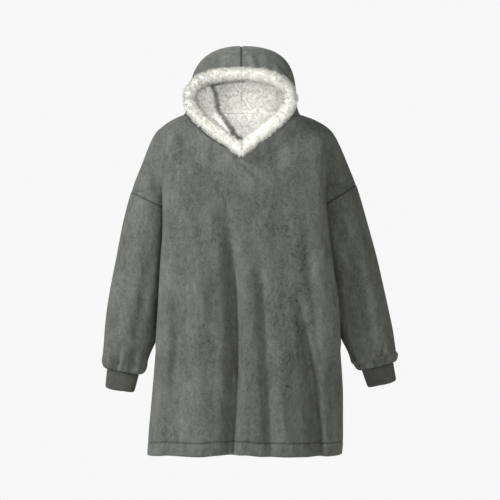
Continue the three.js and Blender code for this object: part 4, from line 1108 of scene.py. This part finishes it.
def curls(name, points, quads, normals, kind, seed):
    """Curly locks all over a surface, as one mesh. Each is a tapered three-sided strand, bent round."""
    chance = np.random.default_rng(seed)
    a, b, c, d = (points[quads[:, k]] for k in range(4))
    area = 0.5 * np.linalg.norm(np.cross(c - a, d - b), axis=1)
    count = int(area.sum() / kind["spacing"] ** 2)
    chosen = chance.choice(len(quads), count, p=area / area.sum())
    u, v = chance.random((2, count, 1))
    root = mix(mix(a[chosen], b[chosen], u), mix(d[chosen], c[chosen], u), v)
    up = unit(sum(normals[quads[chosen, k]] for k in range(4)))
    any_way = chance.normal(size=(count, 3))
    side_way = unit(any_way - (any_way * up).sum(1, keepdims=True) * up)
    other_way = np.cross(up, side_way)
    tall, radius, sweep = (chance.uniform(*CURL[key], (count, 1)) for key in ("tall", "radius", "sweep"))
    rings = []
    for t in np.linspace(0, 1, CURL["segments"] + 1):
        bend = radius * mix(CURL["tight"], 1, t)
        centre = root + up * (kind["height"] * tall * (1 - (1 - t) ** CURL["rise"]) - CURL["foot"])
        centre += bend * (side_way * np.sin(sweep * t) + other_way * (1 - np.cos(sweep * t)))
        thick = CURL["thick"] * (1 - CURL["taper"] * t)
        for corner in range(3):
            turn = 2 * math.pi * corner / 3 + CURL["twist"] * t
            rings.append(centre + thick * (side_way * math.cos(turn) + other_way * math.sin(turn)))
    strand = np.stack(rings, 1)
    ring = np.arange(strand.shape[1]).reshape(-1, 3)
    after = np.roll(ring, -1, axis=1)
    sides = np.stack([ring[:-1], after[:-1], after[1:], ring[1:]], -1).reshape(-1, 4)
    start = strand.shape[1] * np.arange(count)[:, None, None]
    faces = [(sides + start).reshape(-1, 4), (ring[-1:] + start).reshape(-1, 3)]
    # Painted shade up each curl: darker at its root.
    pile_shade = np.tile(np.repeat(np.linspace(*CURL_SHADE, CURL["segments"] + 1), 3), count)
    return object_from(name, strand.reshape(-1, 3), faces, "curly_fleece", attributes={"clump": pile_shade})


def lining_pieces(name, curls_name, lining, node, clump, rise, free, seed):
    """A fleece lining, lumpy inside, and the curls on it. free is 0 where it is sewn down, where the lining
    lies flat and its painted shade is darkest.
    """
    lining.walls = lining.walls + rise * clump * free
    # Painted shade for the material, darker towards the sewn-down line.
    piece = sheet_piece(name, lining, "curly_fleece", node, "clump", mix(*LINING_SHADE, clump) * free)
    locks = curls(curls_name, lining.inner(), lining.quads[:, ::-1], -lining.normals(), LINING_CURLS, seed)
    return piece, locks


def neck_lining():
    """The fleece inside the back of the neck, lying on the back panel."""
    rows = []
    size = NECK_LINING
    for r in range(size["rows"] + 1):
        down = r / size["rows"]
        z = size["top"] - size["depth"] * down
        x = np.linspace(-1, 1, size["columns"] + 1) * size["half_width"] * (1 - size["narrowing"] * down)
        row = np.zeros((len(x), 3))
        for side, part in (("right", x < 0), ("left", x >= 0)):
            heights = np.full(part.sum(), z)
            place = along_at(side, "back", heights, np.abs(x[part]))
            row[part] = body_point(side, "back", heights, place)
        rows.append(row)
    shell = Cloth()
    numbers = shell.add(np.stack(rows), BACKING)
    shell.join(numbers, False)
    return shell.beneath(PLUSH + NECK_LINING_GAP, BACKING)


class Nodes:
    """Short names for building a material's nodes."""

    def __init__(self, name):
        self.material = bpy.data.materials.new(name)
        self.material.use_nodes = True
        self.tree = self.material.node_tree
        self.shader = self.tree.nodes["Principled BSDF"]
        self.place = self.add("ShaderNodeTexCoord", {}).outputs["Object"]

    def feed(self, socket, value):
        """Links an output to a socket, or sets the socket to a number, a vector or a colour."""
        if isinstance(value, (int, float)):
            socket.default_value = value
        elif isinstance(value, tuple):
            socket.default_value = (*value, 1)[: len(socket.default_value)]
        else:
            self.tree.links.new(value, socket)

    def add(self, kind, sockets, **values):
        """A new node with its settings, and its sockets fed by name or by number."""
        node = self.tree.nodes.new(kind)
        for key, value in values.items():
            setattr(node, key, value)
        for key, value in sockets.items():
            self.feed(node.inputs[key], value)
        return node

    def shade(self, sockets):
        """Feeds the shader, and returns the finished material."""
        for key, value in sockets.items():
            self.feed(self.shader.inputs[key], value)
        return self.material

    def scaled(self, scale):
        return self.add("ShaderNodeMapping", {"Vector": self.place, "Scale": scale}).outputs["Vector"]

    def noise(self, vector, scale, detail, rough, distortion=0.0):
        sockets = {"Vector": vector, "Scale": scale, "Detail": detail, "Roughness": rough}
        return self.add("ShaderNodeTexNoise", {**sockets, "Distortion": distortion}).outputs["Fac"]

    def ramp(self, source, *stops):
        node = self.add("ShaderNodeValToRGB", {"Fac": source})
        while len(node.color_ramp.elements) < len(stops):
            node.color_ramp.elements.new(0.5)
        for element, (place, value) in zip(node.color_ramp.elements, stops):
            element.position = place
            element.color = (*value, 1) if isinstance(value, tuple) else (value, value, value, 1)
        return node.outputs["Color"]

    def maths(self, operation, a, b):
        return self.add("ShaderNodeMath", {0: a, 1: b}, operation=operation).outputs["Value"]

    def multiply(self, share, a, b):
        """Colour a multiplied by b, to a share."""
        sockets = {0: share, 6: a, 7: b}
        return self.add("ShaderNodeMix", sockets, data_type="RGBA", blend_type="MULTIPLY").outputs[2]

    def attribute(self, name):
        return self.add("ShaderNodeAttribute", {}, attribute_name=name).outputs["Fac"]

    def bump(self, source, distance, strength, **under):
        sockets = {"Height": source, "Distance": distance, "Strength": strength, **under}
        return self.add("ShaderNodeBump", sockets).outputs["Normal"]


PLUSH_COLOUR = (0.122, 0.127, 0.113)
# Layers of the plush's nap: fibres brushed across and down, blotches, streaks and broad shading
NAP = table(
    "x z scale detail bend amount",
    (0.6, 1.7, 230, 2, 0.4, 0.75), (1.7, 0.5, 210, 2, 0.4, 0.75), (1.0, 0.8, 80, 3, 0.8, 0.8),
    (1.4, 0.45, 26, 3, 0.6, 1.1), (1.3, 0.4, 9, 2, 0.3, 0.5),
)


def plush_material():
    """Brushed plush: a short nap that lies in streaks and blotches, with a soft sheen."""
    n = Nodes("brushed_plush")
    nap = 1.0
    for layer in rows_of(NAP):
        place = n.scaled((layer["x"], 1.0, layer["z"]))
        noise = n.noise(place, layer["scale"], layer["detail"], 0.6, layer["bend"])
        nap = n.maths("ADD", n.maths("MULTIPLY", n.maths("SUBTRACT", noise, 0.5), layer["amount"]), nap)
    swirls = n.noise(n.scaled((1.0, 1.0, 0.6)), 30, 6.0, 0.72, 4.2)
    dark = n.ramp(swirls, (0.34, 0.35), (0.46, 0.95), (0.7, 1.12))
    # Darker near the seams and along the hem's stitching, from the seam attribute: partly the pile parting
    # there, partly painted shade in the grooves.
    seam = n.ramp(n.attribute("seam"), (0.0, 1.0), (1.0, 0.3))
    # The patch attribute strengthens the darkening swirls in patches; across the hem band this is painted
    # shade.
    colour = n.multiply(n.attribute("patch"), n.multiply(1.0, PLUSH_COLOUR, nap), dark)
    grain = n.noise(n.place, 420, 3.0, 0.7)
    return n.shade({
        "Base Color": n.multiply(1.0, colour, seam),
        "Roughness": 0.95,
        "Specular IOR Level": 0.2,
        "Sheen Weight": 0.12,
        "Sheen Roughness": 0.45,
        "Sheen Tint": (0.75, 0.78, 0.72),
        "Normal": n.bump(grain, 0.0016, 0.7, Normal=n.bump(swirls, 0.0025, 0.5)),
    })


def knit_material():
    """Rib knit: painted shade between the ribs, with small stitches across them."""
    n = Nodes("rib_knit")
    tone = n.noise(n.place, 60, 3.0, 0.6)
    colour = n.ramp(tone, (0.3, (0.076, 0.079, 0.069)), (0.7, (0.108, 0.112, 0.098)))
    # Painted shade between the ribs, from the seam attribute.
    between = n.ramp(n.attribute("seam"), (0.1, 1.0), (0.9, 0.6))
    bands = {"Vector": n.place, "Scale": 130, "Distortion": 2.0}
    stitches = n.add("ShaderNodeTexWave", bands, wave_type="BANDS", bands_direction="Z").outputs["Fac"]
    return n.shade({
        "Base Color": n.multiply(1.0, colour, between),
        "Roughness": 0.9,
        "Specular IOR Level": 0.2,
        "Sheen Weight": 0.15,
        "Normal": n.bump(stitches, 0.0004, 0.5),
    })


def fleece_material():
    """Curly fleece: off-white, with painted shade that makes it darker and creamier down between its lumps
    and at the roots of its curls.
    """
    n = Nodes("curly_fleece")
    tone = n.noise(n.place, 170, 4.0, 0.7, 0.8)
    colour = n.ramp(tone, (0.34, (0.6, 0.595, 0.53)), (0.5, (0.82, 0.82, 0.77)))
    # Painted shade: darker and creamier where the clump attribute is low, down in the pile.
    between = n.ramp(n.attribute("clump"), (0.0, (0.7, 0.69, 0.62)), (0.55, (1.0, 1.0, 1.0)))
    return n.shade({
        "Base Color": n.multiply(1.0, colour, between),
        "Roughness": 0.95,
        "Specular IOR Level": 0.15,
        "Sheen Weight": 0.25,
        "Sheen Roughness": 0.6,
        "Normal": n.bump(n.noise(n.place, 420, 3.0, 0.6, 1.0), 0.0012, 0.8),
    })


def camera():
    """A long lens straight ahead, at the photograph's angle."""
    data = bpy.data.cameras.new("camera")
    data.lens = 200
    data.sensor_width = 36
    made = add_object("camera", data)
    made.location = (0.0135, -7.5, -0.369)
    made.rotation_euler = (math.pi / 2, 0, 0)
    bpy.context.scene.camera = made


def light(name, kind, place, target, power, **values):
    """A light that points at a target."""
    data = bpy.data.lights.new(name, kind)
    data.energy = power
    for key, value in values.items():
        setattr(data, key, value)
    made = add_object(name, data)
    made.location = place
    made.rotation_euler = (Vector(target) - Vector(place)).to_track_quat("-Z", "Y").to_euler()


def studio():
    """Soft lights all round, and two narrow ones for the hood's inside and its crown."""
    world = bpy.data.worlds.new("studio")
    world.use_nodes = True
    background = world.node_tree.nodes["Background"]
    background.inputs["Color"].default_value = (0.97, 0.985, 1.0, 1)
    background.inputs["Strength"].default_value = 0.24
    bpy.context.scene.world = world
    body = (0, 0, -0.4)
    for name, place, size, power in (
        ("key", (-2.9, -1.8, 1.9), 1.0, 176),
        ("fill", (1.4, -5.0, 0.3), 2.5, 76),
        ("back", (-0.4, 4.6, 1.2), 2.0, 90),
    ):
        light(name, "AREA", place, body, power, shape="DISK", size=size)
    for name, place, target, angle, power in (
        ("inside", (-0.34, -4.0, -0.14), (0.025, 0, 0), 3.9, 740),
        ("crown", (-1.0, -3.4, 2.0), (-0.07, 0, 0.235), 3.0, 760),
    ):
        spot = {"spot_size": math.radians(angle), "spot_blend": 0.6, "shadow_soft_size": 0.1}
        light(name, "SPOT", place, target, power, **spot)
    bpy.context.scene.view_settings.view_transform = "Standard"


def just_added(name, look):
    """The object that Blender has just added, with its name and material."""
    made = bpy.context.object
    made.name = name
    made.data.materials.append(look)
    return made


def stage():
    """A pale floor where the wearer would stand, and a near-white backdrop all round."""
    bpy.ops.mesh.primitive_circle_add(vertices=96, radius=2.6, fill_type="NGON", location=(0, 0, -1.45))
    floor = just_added("floor", Nodes("floor").shade({"Base Color": (0.86, 0.86, 0.86), "Roughness": 0.9}))
    glow = {"Base Color": (0, 0, 0), "Specular IOR Level": 0, "Emission Strength": 1}
    glow["Emission Color"] = (0.938, 0.938, 0.938)
    bpy.ops.mesh.primitive_uv_sphere_add(segments=48, ring_count=24, radius=14)
    dome = just_added("backdrop", Nodes("backdrop").shade(glow))
    for kind in ("diffuse", "glossy", "transmission", "volume_scatter", "shadow"):
        setattr(dome, f"visible_{kind}", False)


LOOKS = {"plush": plush_material(), "rib_knit": knit_material(), "curly_fleece": fleece_material()}
camera()
stage()
studio()

for facing in ("front", "back"):
    cloth, close = body_panel(facing)
    piece = sheet_piece(f"plush_{facing}", cloth, "plush", f"{facing}_panel", "seam", close)

for side in ("right", "left"):
    cloth, close = sleeve(side)
    piece = sheet_piece(f"plush_sleeve_{side}", cloth, "plush", f"sleeve_{side}", "seam", close)
    cloth, between = cuff(side)
    piece = sheet_piece(f"knit_cuff_{side}", cloth, "rib_knit", f"cuff_{side}", "seam", between)
    cloth, close, lining = hood_half(side)
    piece = sheet_piece(f"plush_hood_{side}", cloth, "plush", f"hood_{side}", "seam", close)
    inner = lining.inner()
    free = np.clip(np.abs(inner[:, 0] - V_X) / SEWN_DOWN, 0, 1)
    clump = lumps(inner, HOOD_LUMPS["size"], 21)
    names = f"fleece_hood_{side}", f"fleece_hood_curls_{side}"
    piece, locks = lining_pieces(*names, lining, f"hood_lining_{side}", clump, HOOD_LUMPS["rise"], free, 31)
    points, faces, normals, clump = roll_half(side)
    # Painted shade down between the roll's lumps.
    pile_shade = {"clump": mix(*ROLL_SHADE, clump)}
    piece = object_from(f"fleece_roll_{side}", points, faces, "curly_fleece", [f"hood_roll_{side}"], pile_shade)
    curls(f"fleece_roll_curls_{side}", points, faces[0], normals, ROLL_CURLS, 41)

lining = neck_lining()
clump = lumps(lining.points, NECK_LUMPS["size"], 22)
names = "fleece_neck", "fleece_neck_curls"
piece, locks = lining_pieces(*names, lining, "neck_lining", clump, NECK_LUMPS["rise"], 1, 32)
